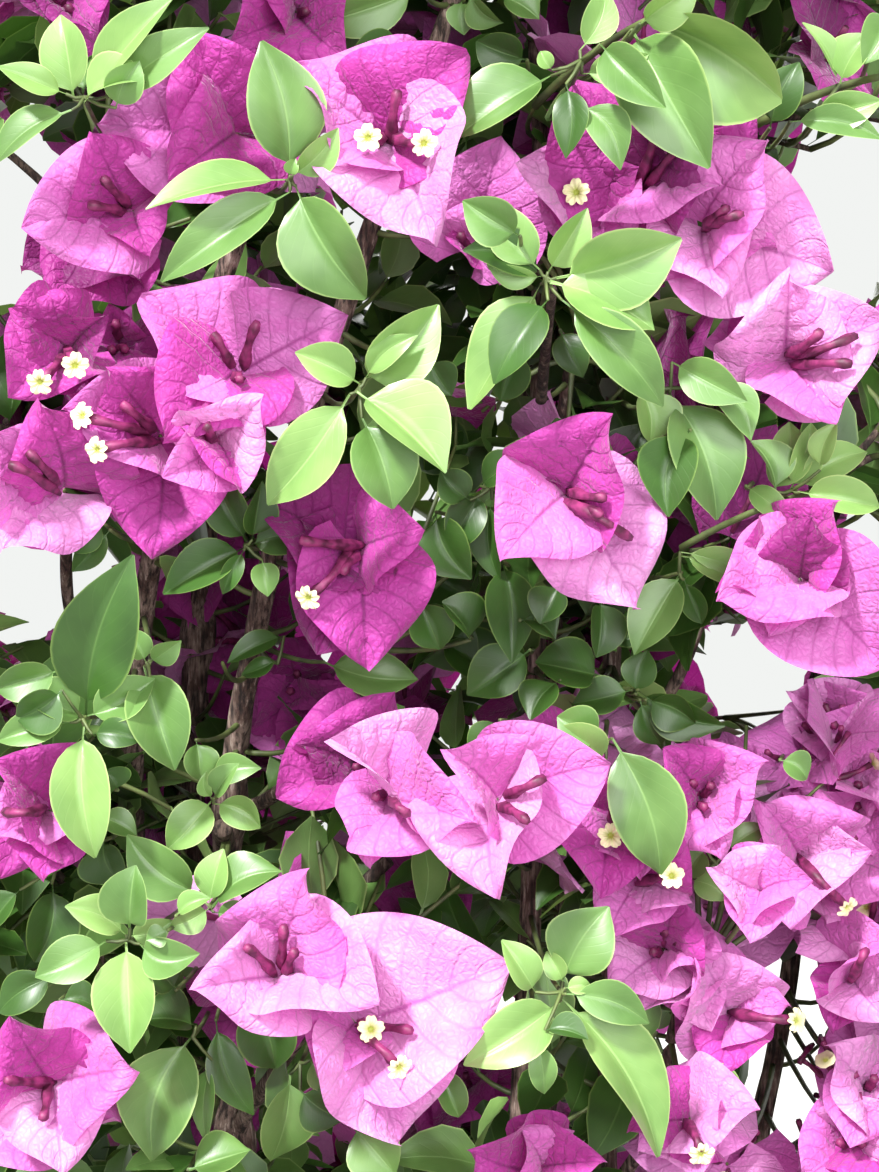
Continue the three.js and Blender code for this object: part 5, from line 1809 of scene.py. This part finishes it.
leads = np.stack([mass["lead"] for mass in masses])
write_piece("leads_and_twigs", [twig_tubes(leads, LEAD_SHARES, *LEAD_SIZE),
                                twig_tubes(joined([mass["twigs"] for mass in masses]), LEAD_SHARES,
                                           *TWIG_SIZE)], young_bark, MASS_NAMES)
green_tubes = [twig_tubes(curve[None], LEAD_SHARES, *radii, GREEN_SIDES)
               for curve, radii in green_branches]
write_piece("fine_twigs", [twig_tubes(joined(twig_lines), TWIG_SHARES, *SHOOT_SIZE),
                           twig_tubes(joined(stalk_lines), STALK_SHARES, *STALK_SIZE),
                           *green_tubes], green_twig, MASS_NAMES)
bark_tubes = [twig_tubes(curve[None], LEAD_SHARES, *radii, BARK_SIDES)
              for curve, radii in bark_branches]
write_piece("placed_branches", bark_tubes, young_bark, MASS_NAMES)

# %% [markdown]
# Each tint of leaves and of bracts is one piece, made of the coarse sheets dealt out by the rule
# and the finer ones placed by the photograph. A coarse sheet is left out if any of its corners
# would stand before a patch of sky, so that the sky's edge is leaves and not holes in them.

# %% Write the leaves and bracts
SKY_MARGIN = 0.92
COARSE_QUILT = 0.02


def clear_of_sky(sheets):
    """The leaves or bracts of which no corner stands before a patch of sky."""
    return sheets[~in_sky(sheets, SKY_MARGIN).any(axis=(1, 2))]


for tint in LEAF_TINTS:
    dealt = shape_of(leaf_bins[tint], leaf_outline, 0.0)
    placed = shape_of(fine_leaves[tint], leaf_outline, 0.0)
    sheets = [(clear_of_sky(blades(dealt, LEAF_ROWS, LEAF_COLUMNS)), SHEET),
              (blades(placed, FINE_LEAF_ROWS, FINE_LEAF_COLUMNS), SHEET)]
    write_piece("leaves_" + tint, sheets, leaf_materials[tint], MASS_NAMES)
for tint in BRACT_TINTS:
    dealt = shape_of(bract_bins[tint], bract_outline, FOOT_LOBE)
    coarse = blades(dealt, BRACT_ROWS, BRACT_COLUMNS, COARSE_QUILT)
    sheets = [(clear_of_sky(coarse), SHEET), (fine_bract_sheets(fine_bracts[tint]), SHEET)]
    write_piece("bracts_" + tint, sheets, bract_materials[tint], MASS_NAMES)

# %% [markdown]
# A flower's tube swells at its foot, narrows, and swells again at its closed tip. The placed ones
# are fluted too: every other side of their rings stands out. Those before the sky are left out.

# %% Write the flowers' tubes
TUBE_SIDES = 5
TUBE_SHARES = np.linspace(0, 1, 4)
TUBE_RADII = np.array([1.1, 1.6, 1.0, 1.5])
FINE_TUBE_SHARES = np.linspace(0, 1, 10)
FINE_TUBE_RADII = np.array([1.0, 1.7, 2.3, 2.2, 1.7, 1.4, 1.4, 1.7, 2.0, 1.4])
FLUTES = 1 + 0.14 * np.cos(np.arange(10) * math.pi)


def tube_sheet(lines, shares, radii, flutes):
    """Closed tubes along flowers' curves, their radii fluted round each ring."""
    curves = np.concatenate(lines)
    curves = curves[~in_sky(curves, SKY_MARGIN).any(axis=1)]
    radius = np.broadcast_to(radii, (len(curves), len(shares)))
    line, radius = closed(on_curve(curves, shares), radius)
    return tubes(line, radius[..., None] * flutes, len(flutes))


coarse = tube_sheet(tube_lines, TUBE_SHARES, TUBE_RADII, np.ones(TUBE_SIDES))
placed = tube_sheet(fine_tube_lines, FINE_TUBE_SHARES, FINE_TUBE_RADII, FLUTES)
write_piece("flower_tubes", [(coarse, TUBE), (placed, TUBE)], tube_skin, MASS_NAMES)

# %% [markdown]
# An opened flower ends in a shallow five-lobed star, each lobe notched and a little ruffled. It is
# a disc of rings round the tube's aim, closed at its middle.

# %% Write the stars
STAR_RADIUS = 5.6
THROAT = 0.2
STAR_SIDES = 15
FINE_STAR_SIDES = 60
# Each ring's share of the radius, and its height along the aim in mm.
STAR_RINGS = ((0.0, -0.8), (0.16, -0.6), (0.3, 0.3), (0.62, 1.0), (1.0, 0.6))


def star_sheets(places, sides, profile):
    """Stars: rings round the tube's aim. Beyond the throat a ring's radius is scaled by
    0.65 + 0.35 |cos(5 turn / 2)|, notched where a lobe is widest, and ruffled by cos(10 turn)."""
    places = np.concatenate(places)
    places = places[~in_sky(places[:, :3], SKY_MARGIN)]
    tip, aim = places[:, :3], places[:, 3:]
    side = unit(np.cross(aim, OUT))
    other = np.cross(side, aim)
    turn = np.arange(sides) * 2 * math.pi / sides
    wave = np.abs(np.cos(2.5 * turn))
    lobe = 0.65 + 0.35 * wave - 0.14 * wave**20
    circle = side[:, None] * np.cos(turn)[:, None] + other[:, None] * np.sin(turn)[:, None]
    rings = []
    for share, rise in profile:
        spread = STAR_RADIUS * share * (lobe if share > THROAT else np.ones(sides))
        height = 1.2 + rise + 0.5 * share * np.cos(10 * turn)
        rings.append(tip[:, None] + circle * spread[:, None] + aim[:, None] * height[:, None])
    return np.stack(rings, 1)


stars = [(star_sheets(star_places, STAR_SIDES, STAR_RINGS[::2]), DISC),
         (star_sheets(fine_star_places, FINE_STAR_SIDES, STAR_RINGS), DISC)]
write_piece("flower_stars", stars, star_petal, MASS_NAMES)

# %% [markdown]
# The stage is plain: a pale floor, a pale world for soft light from everywhere, a broad sun from
# above on the left, and two large soft panels, in front and behind, to open the shadows.

# %% Stage
HALF_FLOOR = 3.0
WORLD_STRENGTH = 0.98
floor_mesh = bpy.data.meshes.new("floor")
floor_corners = [(x * HALF_FLOOR, y * HALF_FLOOR, 0) for x, y in ((-1, -1), (1, -1), (1, 1), (-1, 1))]
floor_mesh.from_pydata(floor_corners, [], [(0, 1, 2, 3)])
floor = bpy.data.objects.new("floor", floor_mesh)
bpy.context.scene.collection.objects.link(floor)
floor_material, floor_tree = new_material("pale_floor")
floor_skin = add_node(floor_tree, "ShaderNodeBsdfPrincipled", {},
                      {"Base Color": linear("#a2a29f"), "Roughness": 0.8})
add_node(floor_tree, "ShaderNodeOutputMaterial", {}, {"Surface": floor_skin})
floor_mesh.materials.append(floor_material)

world = bpy.data.worlds.new("pale_studio")
world.use_nodes = True
background = world.node_tree.nodes["Background"]
background.inputs["Color"].default_value = linear("#f4f6f4")
background.inputs["Strength"].default_value = WORLD_STRENGTH
bpy.context.scene.world = world
bpy.context.scene.view_settings.view_transform = "Standard"
print("floor:", 2 * HALF_FLOOR, "m square")

# %% Lights
CROWN_MIDDLE = (0.0, 0.0, 0.8)
LOWER_CROWN = (0.0, 0.0, 0.7)


def add_light(name, kind, energy, place, aim, **settings):
    """A light at a place, turned to look at a point."""
    lamp = bpy.data.lights.new(name, kind)
    lamp.energy = energy
    for key, value in settings.items():
        setattr(lamp, key, value)
    light = bpy.data.objects.new(name, lamp)
    light.location = place
    way = np.array(aim, float) - np.array(place, float)
    flat = math.hypot(way[0], way[1])
    light.rotation_euler = (math.atan2(flat, -way[2]), 0, math.atan2(way[1], way[0]) - math.pi / 2)
    bpy.context.scene.collection.objects.link(light)
    print("light:", name, "strength", energy)


add_light("sun", "SUN", 8.0, (-1.2, -1.7, 3.0), CROWN_MIDDLE, angle=math.radians(7))
add_light("front_panel", "AREA", 60.0, (0.6, -2.2, 1.5), CROWN_MIDDLE, size=1.6)
add_light("back_panel", "AREA", 60.0, (0.5, 2.6, 1.9), LOWER_CROWN, size=2.4)

# %% [markdown]
# Last, the imported frame's box is printed. Leaves and bracts may stand a little past the solids that
# they replace, and no more.

# %% The frame's box
print("CAD box", [round(v, 3) for v in (*cad_low, *cad_high)])
